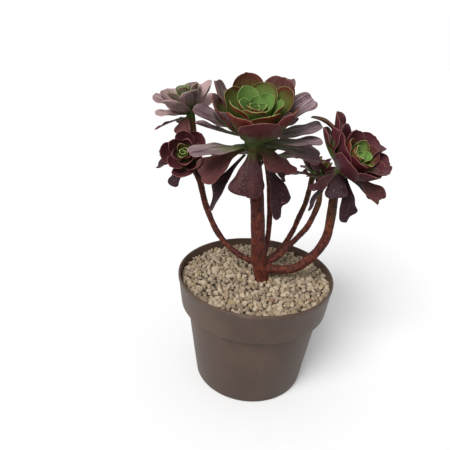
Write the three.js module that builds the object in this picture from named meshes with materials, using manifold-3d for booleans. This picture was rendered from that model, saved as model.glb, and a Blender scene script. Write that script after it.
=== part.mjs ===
// A potted tree aeonium: a taupe plastic nursery pot filled with potting mix, a dressing of
// pale pumice gravel, and one woody plant that carries seven heads of spoon-shaped leaves.
// Millimetres, +Z up. The origin is the centre of the pot's foot, and -Y is the plant's front.
import * as THREE from "three";
import { mergeVertices } from "three/addons/utils/BufferGeometryUtils.js";
import Module from "manifold-3d";

const wasm = await Module();
wasm.setup();

// Driving dimensions of the pot
const POT_HEIGHT = 145;
const RIM_RADIUS = 95;
const BAND_HEIGHT = 40;
const BAND_FOOT_RADIUS = 90.6;
const SHOULDER_RADIUS = 83;
const FOOT_RADIUS = 69.5;
const FOOT_ROUND = 2;
const BAND_ROUND = 1.5;
const WALL = 1.8;
const FLOOR = 2.6;
const LIP_WIDTH = 2.4;
const LIP_HEIGHT = 4;
const LIP_STEP = 0.5; // how far the lip stands out from the band
const LIP_ROUND = 0.8;
const POT_SIDES = 32;
const DRAIN_HOLES = 8;
const DRAIN_RADIUS = 6;
const DRAIN_CIRCLE = 54;

// Driving dimensions of what fills it
const FIT_GAP = 0.3; // left between neighbours that touch
const GRAVEL_TOP = 137;
const GRAVEL_FOOT = 112;
const GRAIN_PITCH = 11.2;
const GRAIN_RELIEF = 3.4;
const GRAIN_RISE = 2; // the spread of the grains' heights
const GRAIN_STRAY = 0.45; // how far a grain may stand off its place, as a share of the pitch
const STEM_PLACE = [8, 1];
const STEM_FOOT = 70;
const SOCKET_RADIUS = 10.5;
const BRANCH_SIDES = 8;
const BRANCH_STEPS = 10;

// Driving dimensions of the leaves
const GOLDEN_ANGLE = 137.5;
const LEAF_THICKNESS = 1.6; // at the root of a short leaf
const THICKER_BY = 0.012; // added for each millimetre of a leaf's length
const HUNG_SLOPE = -12; // leaves whose mean slope is below this one hang
const CUPPED_SLOPE = 36; // and those whose slope is above this one stand up round the heart
const TIP_CLOSE = 0.86; // how far a leaf closes at its tip, where 1 is to a point
const TIP_ROUND = 2.4; // the higher, the blunter the tip
const THINNER_TIP = 0.3; // the share of its thickness that a leaf has lost at its tip
const THINNER_EDGE = 0.4; // and at its edges
const LEAF_COLUMNS = 2;
const ROWS_CROWD = 1.25; // how much the rows of facets crowd towards the tip
const TIGHTEST_WRAP = 4; // the least radius that a leaf wraps round
const FLATTEST_WRAP = 1.15; // that radius as a share of the leaf's half width
const CORE_SIDES = 8;
const CORE_SINK = 3; // how far the core of a crown starts below it
const CORE_SPREAD = 1.3; // its radius there, as a share of the head's waist
const BUD_YOUTH = 0.7; // leaves younger than this are folded into the bud that ends the core
const BUD_WIDTH = 1.1; // the bud's width, as a share of its youngest leaf's
const BUD_FOOT = 0.7; // the core's radius below the bud, as a share of the head's waist
const BUD_TIP = 0.4; // the bud's radius on top, as a share of its widest
const REACH = [0.7, 0.1]; // how far from the axis leaves spring, as a share of the head's waist
const LATE = { rise: 2, length: 1.2, width: 1.5 }; // the higher, the later the crown changes inwards
const SWAY = { azimuth: 8, rise: 2, tip: 4, length: 0.06 }; // how far a leaf strays from its pattern
const SHORT_LEAF = 31; // shorter leaves have two rows of facets along them
const LONG_LEAF = 70; // longer leaves have four, and the rest have three

// How the kinds of leaf widen: where along its length a leaf is widest, its width at the root as a
// share of that, and how late it widens.
const SPREADING = { widest: 0.74, claw: 0.24, swell: 1.6 };
const HUNG = { widest: 0.86, claw: 0.24, swell: 2.6 };
const CUPPED = { widest: 0.72, claw: 0.36, swell: 1.2 };

const MATERIALS = {
  pot: { color: "#6b5c54", roughness: 0.55 },
  mix: { color: "#2e221b", roughness: 0.95 },
  gravel: { color: "#b9aa94", roughness: 0.95 },
  stem: { color: "#6b3a28", roughness: 0.75 },
  leaf: { color: "#562c39", roughness: 0.45 },
};

// The plant's limbs, as centre lines. Each ends where the leafy neck of its head begins.
const TRUNK = {
  name: "trunk",
  line: [
    [...STEM_PLACE, STEM_FOOT],
    [...STEM_PLACE, 112],
    [8, 0, 137],
    [4, 0, 160],
    [0, 1, 189],
    [-3, 2, 220],
    [-6, 2, 247],
    [-9, 1, 270],
    [-11, 0, 286],
  ],
  radii: [4.5, 7.2, 9.2, 9.6, 8.8, 8.4, 8.2, 7.8, 7.2],
  sides: 10,
  steps: 14,
};
const BRANCHES = [
  {
    name: "right",
    line: [
      [4, 0, 153],
      [18, -3, 151.5],
      [34, -4, 151.5],
      [50, -4, 156],
      [63, -4, 168],
      [74, -5, 184],
      [80, -5, 202],
      [81, -6, 225],
      [80, -8, 249],
      [81, -12, 266],
    ],
    radii: [5.4, 5.6, 5.4, 5.5, 5.6, 5.7, 5.6, 5.5, 5.5, 5],
  },
  {
    name: "left",
    line: [
      [4, 1, 152],
      [-9, 3, 159],
      [-21, 7, 163],
      [-38, 14, 174],
      [-52, 20, 191],
      [-63, 26, 213],
      [-70, 30, 234],
      [-75, 34, 258],
      [-79, 36, 284],
      [-83, 37, 306],
    ],
    radii: [3.6, 3.8, 3.8, 3.8, 3.9, 4, 4.1, 4.2, 4.2, 4],
  },
  {
    name: "low_left",
    line: [
      [-71, 30.5, 238],
      [-74, 27, 249],
      [-78, 23, 260],
      [-82, 20, 270],
    ],
    radii: [3.4, 3.5, 3.5, 3.4],
    steps: 3,
  },
  {
    name: "back",
    line: [
      [4, 1, 152],
      [10, 8, 166],
      [13, 18, 180],
      [15, 32, 195],
      [15, 44, 211],
      [14, 54, 230],
      [11, 62, 252],
    ],
    radii: [3.4, 3.6, 3.7, 3.7, 3.8, 3.8, 3.6],
  },
  {
    name: "far_back",
    line: [
      [4, 1, 152],
      [15, 11, 157],
      [28, 28, 158],
      [41, 44, 167],
      [51, 57, 180],
      [58, 68, 193],
      [66, 76, 212],
      [70, 82, 232],
    ],
    radii: [3.6, 3.8, 3.7, 3.7, 3.7, 3.8, 3.8, 3.6],
  },
  {
    name: "far_right",
    line: [
      [4, 0, 151],
      [17, 5, 158],
      [30, 11, 164],
      [40, 18, 173],
      [52, 27, 182],
      [63, 35, 192],
      [71, 42, 206],
      [76, 46, 222],
      [77, 49, 236],
    ],
    radii: [3.6, 3.8, 3.8, 3.8, 3.8, 3.9, 3.9, 3.9, 3.7],
  },
];

// The heads. Azimuth 0 is the plant's right and -90 its front. A crown leans by its lean, towards
// its facing. Its leaves follow a golden spiral from the oldest, at start, in to the bud, and each
// pair of numbers runs from the oldest leaf to the youngest: rise is the angle above level at the
// leaf's root, and tip the angle at its end. Every leaf that spreads or hangs below the crown is
// listed: [azimuth, height of the root, rise, tip, length, width, cup, roll].
const HEADS = {
  trunk: {
    neck: 22,
    waist: 11,
    depth: 24,
    lean: 25,
    facing: -93,
    crown: {
      count: 24, start: -88, root: [5, 25], rise: [25, 70], tip: [77, 90],
      length: [67, 14], width: [46, 15], cup: [0.05, 0.3],
    },
    leaves: [
      [4, 10, 26, 42, 68, 33, 0.15, 36],
      [-162, 9, 16, 26, 68, 29, 0.15, -32],
      [35, 4, 38, 80, 76, 36, 0.2, 0],
      [158, 5, 30, 74, 74, 36, 0.2, 0],
      [-172, 3, 10, 18, 62, 22, 0.2, 6],
      [-30, 4, 26, 44, 50, 21, 0.2, -40],
      [2, 2, 9, 20, 70, 25, 0.15, 26],
      [-8, -1, 2, 6, 68, 24, 0.15, 18],
      [6, -6, 0, -20, 75, 30, 0.15, 34],
      [-148, -6, -2, 0, 75, 28, 0.15, -16],
      [92, 4, 20, 24, 56, 32, 0.2, 0],
      [134, 2, 12, 6, 58, 32, 0.2, 0],
      [56, 0, 8, 0, 58, 32, 0.2, 0],
      [-146, 1, 20, 52, 58, 34, 0.1, 0],
      [-40, -5, -16, -48, 46, 40, 0.15, 8],
      [-98, -8, -48, -84, 54, 38, 0.2, -12],
      [-156, -8, -12, -48, 64, 36, 0.15, -26],
      [-166, -12, -46, -66, 70, 21, 0.3, -24],
      [-26, -12, -46, -78, 74, 26, 0.3, 40],
      [164, -5, -10, -40, 52, 28, 0.2, 0],
    ],
  },
  right: {
    neck: 20,
    waist: 7.5,
    depth: 16,
    lean: 44,
    facing: -50,
    crown: {
      count: 20, start: -126, root: [1, 15], rise: [19, 68], tip: [76, 92],
      length: [50, 12], width: [37, 12], cup: [0.08, 0.3],
    },
    leaves: [
      [6, 3, 14, 48, 46, 32, 0.15, 0],
      [-40, 0, 4, 14, 50, 30, 0.2, 12],
      [150, 5, 66, 92, 56, 30, 0.2, 0],
      [152, 14, 88, -6, 60, 13, 0.35, 0],
      [58, 4, 20, 30, 46, 28, 0.2, 0],
      [166, 2, 44, 80, 48, 28, 0.2, 0],
      [-40, -4, -12, -34, 50, 25, 0.2, 10],
      [-64, -6, -52, -84, 48, 23, 0.3, 0],
      [-112, -2, -30, -62, 34, 22, 0.2, 0],
      [-152, -3, -18, -46, 36, 19, 0.25, 0],
      [-30, -7, -18, -44, 42, 21, 0.25, 0],
      [-158, 3, 56, 84, 46, 30, 0.2, 0],
      [-178, -7, -44, -68, 48, 18, 0.3, 0],
      [34, -3, -8, -34, 46, 26, 0.2, 0],
      [98, -4, -16, -46, 40, 24, 0.2, 0],
    ],
  },
  left: {
    neck: 20,
    waist: 5,
    depth: 20,
    lean: 16,
    facing: -160,
    crown: {
      count: 12, start: -120, root: [2, 18], rise: [22, 74], tip: [56, 88],
      length: [42, 11], width: [30, 11], cup: [0.1, 0.3],
    },
    leaves: [
      [-178, 2, 18, 26, 45.2, 22, 0.15, -24],
      [92, 4, 30, 40, 44, 30, 0.1, 0],
      [136, 3, 24, 36, 42, 26, 0.15, 0],
      [40, 3, 20, 24, 42, 28, 0.15, 0],
      [-146, 0, 4, 2, 42, 20, 0.2, -14],
      [-10, 1, 4, -4, 38, 24, 0.2, 0],
      [-114, -1, -26, -66, 32, 22, 0.2, 0],
      [168, -4, -12, -34, 42, 18, 0.2, 0],
      [106, -4, -10, -36, 38, 24, 0.2, 0],
    ],
  },
  low_left: {
    neck: 12,
    waist: 5,
    depth: 16,
    lean: 62,
    facing: -100,
    crown: {
      count: 18, start: -100, root: [2, 15], rise: [16, 70], tip: [72, 92],
      length: [37, 8], width: [28, 9], cup: [0.12, 0.3],
    },
    leaves: [
      [-175, -2, -6, -30, 36, 22, 0.25, 0],
      [-140, -5, -36, -70, 34, 22, 0.3, 0],
      [160, 0, 5, -15, 34, 20, 0.2, 0],
      [-30, -4, -24, -60, 30, 20, 0.25, 0],
      [20, -2, -8, -30, 28, 18, 0.2, 0],
    ],
  },
  back: {
    neck: 20,
    waist: 5,
    depth: 22,
    lean: 14,
    facing: 84,
    crown: {
      count: 10, start: 84, root: [3, 20], rise: [20, 72], tip: [70, 94],
      length: [42, 10], width: [30, 10], cup: [0.2, 0.3],
    },
    leaves: [
      [6, 1, 6, -2, 44, 22, 0.2, 0],
      [172, 1, 8, 0, 46, 22, 0.2, 0],
      [116, 1, 0, -16, 42, 26, 0.2, 0],
      [54, 0, -2, -20, 42, 26, 0.2, 0],
      [-40, -2, -20, -50, 34, 20, 0.2, 0],
      [-138, -2, -24, -56, 34, 20, 0.2, 0],
    ],
  },
  far_back: {
    neck: 16,
    waist: 4.4,
    depth: 17,
    lean: 16,
    facing: 60,
    crown: {
      count: 8, start: 60, root: [2, 15], rise: [20, 72], tip: [66, 94],
      length: [30, 8], width: [22, 8], cup: [0.2, 0.3],
    },
    leaves: [
      [98, 0, 6, -4, 36, 21, 0.2, 0],
      [22, 0, 4, -10, 34, 21, 0.2, 0],
      [152, -1, 0, -18, 28, 18, 0.2, 0],
      [-62, -2, -10, -30, 24, 18, 0.2, 0],
    ],
  },
  far_right: {
    neck: 16,
    waist: 4.4,
    depth: 15,
    lean: 8,
    facing: 40,
    crown: {
      count: 8, start: 20, root: [2, 13], rise: [18, 72], tip: [60, 92],
      length: [25, 8], width: [19, 7], cup: [0.2, 0.3],
    },
    leaves: [
      [-160, 1, 14, 20, 27, 22, 0.2, 0],
      [40, 0, 6, -6, 30, 18, 0.2, 0],
      [116, -1, 0, -16, 26, 18, 0.2, 0],
      [-40, -2, -10, -36, 28, 17, 0.2, 0],
    ],
  },
};

const radians = THREE.MathUtils.degToRad;
const mix = THREE.MathUtils.lerp;

// A repeatable draw between 0 and 1 for the whole number n.
function draw(n) {
  const wave = Math.sin(n * 12.9898 + 4.1414) * 43758.5453;
  return wave - Math.floor(wave);
}

// A closed geometry as a solid that can be joined and cut.
function solidOf(geometry) {
  const bare = geometry.clone();
  bare.deleteAttribute("normal");
  bare.deleteAttribute("uv");
  const merged = mergeVertices(bare, 1e-4);
  return new wasm.Manifold(
    new wasm.Mesh({
      numProp: 3,
      vertProperties: new Float32Array(merged.attributes.position.array),
      triVerts: new Uint32Array(merged.index.array),
    }),
  );
}

// Solids joined into one body. Hollows that the joint seals are filled, and scraps are dropped.
function fuse(solids) {
  const bodies = wasm.Manifold.union(solids).decompose();
  return bodies.reduce((best, body) => (body.volume() > best.volume() ? body : best));
}

// A named mesh of a solid, in one of the part's materials.
function meshOf(name, solid, material) {
  const data = solid.getMesh();
  const points = new Float32Array(data.numVert * 3);
  for (let i = 0; i < data.numVert; i++)
    for (let axis = 0; axis < 3; axis++)
      points[3 * i + axis] = data.vertProperties[data.numProp * i + axis];
  const geometry = new THREE.BufferGeometry()
    .setAttribute("position", new THREE.BufferAttribute(points, 3))
    .setIndex(new THREE.BufferAttribute(new Uint32Array(data.triVerts), 1));
  geometry.computeVertexNormals();
  const mesh = new THREE.Mesh(geometry, new THREE.MeshStandardMaterial(MATERIALS[material]));
  mesh.name = name;
  return mesh;
}

// A solid turned about the Z axis from its half section, given as [radius, height] from the bottom
// of the outside, up, and down the inside.
function turned(section, sides) {
  const lathe = new THREE.LatheGeometry(section.map(([r, z]) => new THREE.Vector2(r, z)), sides);
  return solidOf(lathe.rotateX(Math.PI / 2));
}

// The inside of the pot's wall as [radius, height], from the floor up.
const BAND_FOOT = POT_HEIGHT - BAND_HEIGHT;
const INSIDE = [
  [FOOT_RADIUS - WALL, FLOOR],
  [SHOULDER_RADIUS - WALL, BAND_FOOT - 1],
  [BAND_FOOT_RADIUS - WALL, BAND_FOOT + 3],
  [RIM_RADIUS - LIP_WIDTH, POT_HEIGHT - LIP_HEIGHT],
  [RIM_RADIUS - LIP_WIDTH, POT_HEIGHT],
];

// The pot: a tapered body, a wider band round its top with a lip, and holes in its floor.
function buildPot() {
  const outside = [
    [0, 0],
    [FOOT_RADIUS - FOOT_ROUND, 0],
    [FOOT_RADIUS, FOOT_ROUND],
    [SHOULDER_RADIUS, BAND_FOOT - 1],
    [BAND_FOOT_RADIUS - BAND_ROUND, BAND_FOOT],
    [BAND_FOOT_RADIUS, BAND_FOOT + BAND_ROUND],
    [RIM_RADIUS - LIP_STEP, POT_HEIGHT - LIP_HEIGHT - 2 * LIP_STEP],
    [RIM_RADIUS, POT_HEIGHT - LIP_HEIGHT],
    [RIM_RADIUS, POT_HEIGHT - LIP_ROUND],
    [RIM_RADIUS - LIP_ROUND, POT_HEIGHT],
  ];
  let pot = turned([...outside, ...INSIDE.toReversed(), [0, FLOOR]], POT_SIDES);
  for (let i = 0; i < DRAIN_HOLES; i++) {
    const angle = (2 * Math.PI * i) / DRAIN_HOLES;
    const hole = new THREE.CylinderGeometry(DRAIN_RADIUS, DRAIN_RADIUS, 4 * FLOOR, 10)
      .rotateX(Math.PI / 2)
      .translate(DRAIN_CIRCLE * Math.cos(angle), DRAIN_CIRCLE * Math.sin(angle), 0);
    pot = pot.subtract(solidOf(hole));
  }
  return pot;
}

// The radius that fills the pot at a height, clear of the flats of its faceted wall.
function fillRadius(z) {
  const above = Math.max(1, INSIDE.findIndex(([, height]) => height >= z));
  const [[r0, z0], [r1, z1]] = [INSIDE[above - 1], INSIDE[above]];
  return mix(r0, r1, (z - z0) / (z1 - z0)) * Math.cos(Math.PI / POT_SIDES) - FIT_GAP;
}

// The socket that the rooted foot of the trunk stands in, open at the top.
function socket() {
  const depth = POT_HEIGHT - STEM_FOOT;
  const hole = new THREE.CylinderGeometry(SOCKET_RADIUS, SOCKET_RADIUS, depth, 16);
  hole.rotateX(Math.PI / 2).translate(...STEM_PLACE, STEM_FOOT - FIT_GAP + depth / 2);
  return solidOf(hole);
}

// The potting mix, which fills the pot from its floor to the gravel.
function buildMix() {
  const low = FLOOR + FIT_GAP;
  const high = GRAVEL_FOOT - FIT_GAP;
  const wall = [low, BAND_FOOT - 1, BAND_FOOT + 3, high].map((z) => [fillRadius(z), z]);
  return turned([[0, low], ...wall, [0, high]], POT_SIDES).subtract(socket());
}

// The pumice dressing: a layer whose top is raised into grains. The grains stand on a six-sided
// lattice, larger than life, with a hollow in the middle of each three.
function buildGravel() {
  const points = [];
  const faces = [];
  const rings = Math.floor(fillRadius(GRAVEL_TOP) / GRAIN_PITCH);
  const edgeHeight = GRAVEL_TOP - 1;
  const ringStarts = [];
  for (let ring = 0; ring <= rings; ring++) {
    ringStarts.push(points.length);
    const count = Math.max(1, 6 * ring);
    for (let i = 0; i < count; i++) {
      const seed = 100 * ring + i;
      const last = ring === rings;
      const stray = last ? 0 : draw(seed) - 0.5;
      const slip = last ? 0 : draw(seed + 7) - 0.5;
      const height = last ? edgeHeight : GRAVEL_TOP + GRAIN_RISE * (draw(seed + 3) - 0.6);
      const radius = last ? fillRadius(edgeHeight) : (ring + GRAIN_STRAY * stray) * GRAIN_PITCH;
      const angle = (2 * Math.PI * (i + GRAIN_STRAY * slip)) / count;
      points.push([radius * Math.cos(angle), radius * Math.sin(angle), height]);
    }
  }
  const hollow = (a, b, c) => {
    const centre = [0, 1].map((axis) => (points[a][axis] + points[b][axis] + points[c][axis]) / 3);
    points.push([...centre, GRAVEL_TOP - GRAIN_RELIEF]);
    const low = points.length - 1;
    faces.push([a, b, low], [b, c, low], [c, a, low]);
  };
  const grains = points.length;
  for (let ring = 1; ring <= rings; ring++)
    for (let side = 0; side < 6; side++)
      for (let i = 0; i < ring; i++) {
        const outer = (k) => ringStarts[ring] + ((side * ring + k) % (6 * ring));
        const inner = (k) =>
          ring === 1 ? 0 : ringStarts[ring - 1] + ((side * (ring - 1) + k) % (6 * (ring - 1)));
        hollow(outer(i), outer(i + 1), inner(i));
        if (i > 0) hollow(outer(i), inner(i), inner(i - 1));
      }
  const rim = [];
  for (let i = ringStarts[rings]; i < grains; i++) rim.push(i);
  const foot = rim.map((i) => {
    const [x, y] = points[i];
    const scale = fillRadius(GRAVEL_FOOT) / Math.hypot(x, y);
    points.push([x * scale, y * scale, GRAVEL_FOOT]);
    return points.length - 1;
  });
  points.push([0, 0, GRAVEL_FOOT]);
  const middle = points.length - 1;
  rim.forEach((a, i) => {
    const next = (i + 1) % rim.length;
    faces.push([foot[i], foot[next], a], [a, foot[next], rim[next]]);
    faces.push([foot[next], foot[i], middle]);
  });
  const geometry = new THREE.BufferGeometry()
    .setAttribute("position", new THREE.Float32BufferAttribute(points.flat(), 3))
    .setIndex(faces.flat());
  return solidOf(geometry).subtract(socket());
}

// A limb's centre line.
function lineOf(limb) {
  const points = limb.line.map((point) => new THREE.Vector3(...point));
  return new THREE.CatmullRomCurve3(points, false, "catmullrom", 0.5);
}

// A round limb along its centre line, from a cylinder whose rings are laid square to the line.
function buildLimb(limb) {
  const { radii, sides = BRANCH_SIDES, steps = BRANCH_STEPS } = limb;
  const curve = lineOf(limb);
  const tube = new THREE.CylinderGeometry(1, 1, 1, sides, steps);
  const place = tube.attributes.position;
  const reference = new THREE.Vector3(0, 1, 0);
  for (let i = 0; i < place.count; i++) {
    const along = place.getY(i) + 0.5;
    const centre = curve.getPoint(along);
    const tangent = curve.getTangent(along);
    const across = new THREE.Vector3().crossVectors(reference, tangent).normalize();
    const up = new THREE.Vector3().crossVectors(tangent, across);
    const span = along * (radii.length - 1);
    const first = Math.min(Math.floor(span), radii.length - 2);
    const radius = mix(radii[first], radii[first + 1], span - first);
    centre.addScaledVector(across, radius * place.getZ(i)).addScaledVector(up, radius * place.getX(i));
    place.setXYZ(i, centre.x, centre.y, centre.z);
  }
  return solidOf(tube);
}

// The half width of a leaf as a share of its widest, along its length from root 0 to tip 1.
function outline(along, slope) {
  const { widest, claw, swell } = slope <= HUNG_SLOPE ? HUNG : slope >= CUPPED_SLOPE ? CUPPED : SPREADING;
  const open = Math.sin((Math.PI / 2) * Math.min(along / widest, 1));
  const close = Math.max(0, (along - widest) / (1 - widest));
  return mix(claw, 1, open ** swell) * Math.sqrt(1 - TIP_CLOSE * close ** TIP_ROUND);
}

// A point of a leaf's blade. Its midrib is an arc from rise to tip in the upright plane at its
// azimuth. The blade wraps round the head's axis, so that leaves nest, its edges are lifted by the
// cup, and roll turns it about its midrib. Face is 1 on the inner side and -1 on the outer one.
function bladePoint({ azimuth, root, reach, rise, tip, length, width, cup, roll }, along, across, face) {
  const from = radians(rise);
  const bend = radians(tip - rise) || 1e-6;
  const angle = from + bend * along;
  const out = reach + (length * (Math.sin(angle) - Math.sin(from))) / bend;
  const high = root + (length * (Math.cos(from) - Math.cos(angle))) / bend;
  const half = (width / 2) * outline(along, (rise + tip) / 2);
  const stout = LEAF_THICKNESS + THICKER_BY * length;
  const thick = stout * (1 - THINNER_TIP * along) * (1 - THINNER_EDGE * across * across);
  const flat = across * half;
  const lift = cup * half * across * across + (face * thick) / 2;
  const lean = radians(roll) * along;
  const side = flat * Math.cos(lean) - lift * Math.sin(lean);
  const normal = flat * Math.sin(lean) + lift * Math.cos(lean);
  const wrap = Math.max(out, FLATTEST_WRAP * half, TIGHTEST_WRAP);
  const far = wrap - normal * Math.sin(angle);
  const turn = radians(azimuth);
  const radial = out - wrap + far * Math.cos(side / wrap);
  const tangent = far * Math.sin(side / wrap);
  return new THREE.Vector3(
    radial * Math.cos(turn) - tangent * Math.sin(turn),
    radial * Math.sin(turn) + tangent * Math.cos(turn),
    high + normal * Math.cos(angle),
  );
}

// A leaf as a thin closed blade of so many rows along it.
function buildLeaf(leaf, rows) {
  const columns = LEAF_COLUMNS;
  const points = [];
  const faces = [];
  const index = (row, column, face) => 2 * (row * (columns + 1) + column) + face;
  for (let row = 0; row <= rows; row++)
    for (let column = 0; column <= columns; column++)
      for (const face of [-1, 1]) {
        const along = 1 - (1 - row / rows) ** ROWS_CROWD;
        points.push(...bladePoint(leaf, along, (2 * column) / columns - 1, face));
      }
  const quad = (a, b, c, d) => faces.push(a, b, c, a, c, d);
  for (let row = 0; row < rows; row++)
    for (let column = 0; column < columns; column++) {
      const corners = [[row, column], [row, column + 1], [row + 1, column + 1], [row + 1, column]];
      const [a, b, c, d] = corners.map(([r, k]) => index(r, k, 1));
      const [e, f, g, h] = corners.map(([r, k]) => index(r, k, 0));
      faces.push(a, c, b, a, d, c, e, f, g, e, g, h);
    }
  for (let row = 0; row < rows; row++) {
    const [low, high] = [row, row + 1];
    quad(index(low, 0, 0), index(high, 0, 0), index(high, 0, 1), index(low, 0, 1));
    const edge = [index(low, columns, 0), index(low, columns, 1)];
    quad(...edge, index(high, columns, 1), index(high, columns, 0));
  }
  for (let column = 0; column < columns; column++) {
    const [left, right] = [column, column + 1];
    quad(index(0, left, 0), index(0, left, 1), index(0, right, 1), index(0, right, 0));
    const end = [index(rows, left, 0), index(rows, right, 0)];
    quad(...end, index(rows, right, 1), index(rows, left, 1));
  }
  const geometry = new THREE.BufferGeometry()
    .setAttribute("position", new THREE.Float32BufferAttribute(points, 3))
    .setIndex(faces);
  return solidOf(geometry);
}

// The leaves of a head's crown, from the oldest in to the bud.
function crownLeaves({ crown, waist }) {
  const leaves = [];
  for (let i = 0; i < BUD_YOUTH * (crown.count - 1); i++) {
    const youth = i / (crown.count - 1);
    const sway = draw(i + crown.start) - 0.5;
    const between = ([old, young], power = 1) => mix(old, young, youth ** power);
    leaves.push({
      azimuth: crown.start + GOLDEN_ANGLE * i + SWAY.azimuth * sway,
      root: between(crown.root),
      reach: waist * between(REACH),
      rise: between(crown.rise, LATE.rise) + SWAY.rise * sway,
      tip: between(crown.tip) + SWAY.tip * sway,
      length: between(crown.length, LATE.length) * (1 + SWAY.length * sway),
      width: between(crown.width, LATE.width),
      cup: between(crown.cup),
      roll: 0,
    });
  }
  return leaves;
}

// The core up the middle of a crown, with the closed bud of its youngest leaves on top.
function buildCore({ crown, waist, depth }) {
  const young = { root: crown.root[1], length: crown.length[1], width: crown.width[1] };
  const bud = (BUD_WIDTH * young.width) / 2;
  const top = young.root + young.length;
  return turned(
    [
      [0, -CORE_SINK],
      [CORE_SPREAD * waist, -CORE_SINK],
      [BUD_FOOT * waist, depth / 2],
      [bud, young.root + young.length / 2],
      [BUD_TIP * bud, top],
      [0, top],
    ],
    CORE_SIDES,
  );
}

// The turn that leans the Z axis towards a facing, without turning the azimuths.
function leaning({ lean, facing }) {
  const hinge = new THREE.Vector3(-Math.sin(radians(facing)), Math.cos(radians(facing)), 0);
  return new THREE.Matrix4().makeRotationAxis(hinge, radians(lean));
}

// A head of leaves about the origin, which is where its crown begins: a leafy neck from the end of
// its limb, a core up the middle of the leaning crown, and the leaves sunk into them.
function buildHead(head, limb) {
  const curve = lineOf(limb);
  const along = curve.getTangent(1);
  const upright = new THREE.Quaternion().setFromUnitVectors(new THREE.Vector3(0, 0, 1), along);
  const limbRadius = limb.radii[limb.radii.length - 1];
  const neck = new THREE.CylinderGeometry(head.waist, limbRadius, head.neck, CORE_SIDES)
    .rotateX(Math.PI / 2)
    .translate(0, 0, -head.neck / 2)
    .applyQuaternion(upright);
  const lean = [...leaning(head).elements];
  const listed = head.leaves.map(([azimuth, root, rise, tip, length, width, cup, roll]) => ({
    azimuth, root, reach: 0.5 * head.waist, rise, tip, length, width, cup, roll,
  }));
  const rows = (length) => (length > LONG_LEAF ? 4 : length > SHORT_LEAF ? 3 : 2);
  const blade = (leaf) => buildLeaf(leaf, rows(leaf.length));
  const crown = [buildCore(head), ...crownLeaves(head).map(blade)];
  return fuse([solidOf(neck), ...crown.map((solid) => solid.transform(lean)), ...listed.map(blade)]);
}

// Where a head's crown begins: a neck's length past the end of its limb.
function crownBase(head, limb) {
  const curve = lineOf(limb);
  return curve.getPoint(1).addScaledVector(curve.getTangent(1), head.neck + FIT_GAP);
}

const plant = new THREE.Group();
plant.add(meshOf("pot", buildPot(), "pot"));
plant.add(meshOf("potting_mix", buildMix(), "mix"));
plant.add(meshOf("pumice_gravel", buildGravel(), "gravel"));
const wood = fuse([TRUNK, ...BRANCHES].map(buildLimb));
plant.add(meshOf("woody_stem", wood, "stem"));
for (const limb of [TRUNK, ...BRANCHES]) {
  const head = HEADS[limb.name];
  const mesh = meshOf(`head_${limb.name}`, buildHead(head, limb), "leaf");
  mesh.position.copy(crownBase(head, limb));
  plant.add(mesh);
}

export default plant;
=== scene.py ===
"""A potted tree aeonium, dressed for the camera around its fixed frame of solids.

The plant stands in pale pumice gravel in a taupe plastic pot. Its woody stem forks just above the
gravel into limbs, and each limb carries a head of spoon-shaped leaves: green at the heart, maroon
round it, greyish pink where old leaves lie open, and near black where they hang. Sizes are in
millimetres, as in the part's source, and MM turns them into the frame's metres.
"""

import logging
import math
from abc import ABC, abstractmethod
from dataclasses import dataclass, field, replace
from enum import Enum

import bpy
import numpy as np
from bpy.types import Material, Node, NodeSocket, NodeTree, Object
from mathutils import Matrix, Vector


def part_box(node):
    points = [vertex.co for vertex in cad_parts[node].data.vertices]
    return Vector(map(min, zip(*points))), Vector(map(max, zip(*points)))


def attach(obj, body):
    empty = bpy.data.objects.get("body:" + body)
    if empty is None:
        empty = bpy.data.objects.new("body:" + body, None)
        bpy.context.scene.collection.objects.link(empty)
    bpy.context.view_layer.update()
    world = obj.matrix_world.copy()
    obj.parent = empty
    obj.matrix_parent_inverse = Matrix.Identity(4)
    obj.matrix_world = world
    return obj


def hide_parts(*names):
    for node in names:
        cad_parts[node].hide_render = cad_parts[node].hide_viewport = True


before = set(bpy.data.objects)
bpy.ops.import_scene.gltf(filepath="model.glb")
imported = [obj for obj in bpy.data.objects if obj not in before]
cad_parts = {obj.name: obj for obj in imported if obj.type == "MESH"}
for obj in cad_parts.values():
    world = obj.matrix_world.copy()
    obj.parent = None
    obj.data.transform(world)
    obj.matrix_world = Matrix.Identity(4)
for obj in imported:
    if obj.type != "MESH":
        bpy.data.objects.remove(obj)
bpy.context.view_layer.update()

LOG = logging.getLogger("aeonium")
MM = 0.001
BODY = "root"
FIT_GAP = 0.3
FULL_TURN = 2.0 * math.pi
GOLDEN_ANGLE = 137.5
HANGING_SLOPE = -12.0
CUPPED_SLOPE = 36.0
STEM_PLACE = (8.0, 1.0)

Colour = tuple[float, float, float, float]
Numbers = float | np.ndarray
Paint = str | tuple | NodeSocket


class Slot(Enum):
    """The record's material slots, one passed with each new piece."""

    POT = "pot_plastic"
    PUMICE = "pumice"
    BARK = "bark"
    LEAF = "leaf"


class Stage(Enum):
    """How far a leaf has aged, from the crown to the ones below it that hang or have dried."""

    CROWN = "crown"
    OPEN = "open"
    HANGING = "hanging"
    DRIED = "dried"


def draw(n: float) -> float:
    """A repeatable draw between 0 and 1 for the number n, the same as in the part's source."""
    wave = math.sin(n * 12.9898 + 4.1414) * 43758.5453
    return wave - math.floor(wave)


def blend(start: Numbers, end: Numbers, share: Numbers) -> Numbers:
    """The value that lies that share of the way from start to end."""
    return start + (end - start) * share


def ease(low: float, high: float, value: Numbers) -> Numbers:
    """A smooth step from 0 at low to 1 at high."""
    share = np.clip((value - low) / (high - low), 0.0, 1.0)
    return share * share * (3.0 - 2.0 * share)


def unit(vectors: np.ndarray) -> np.ndarray:
    """The vectors, one in each row, at a length of 1."""
    return vectors / np.linalg.norm(vectors, axis=1, keepdims=True)


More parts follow.
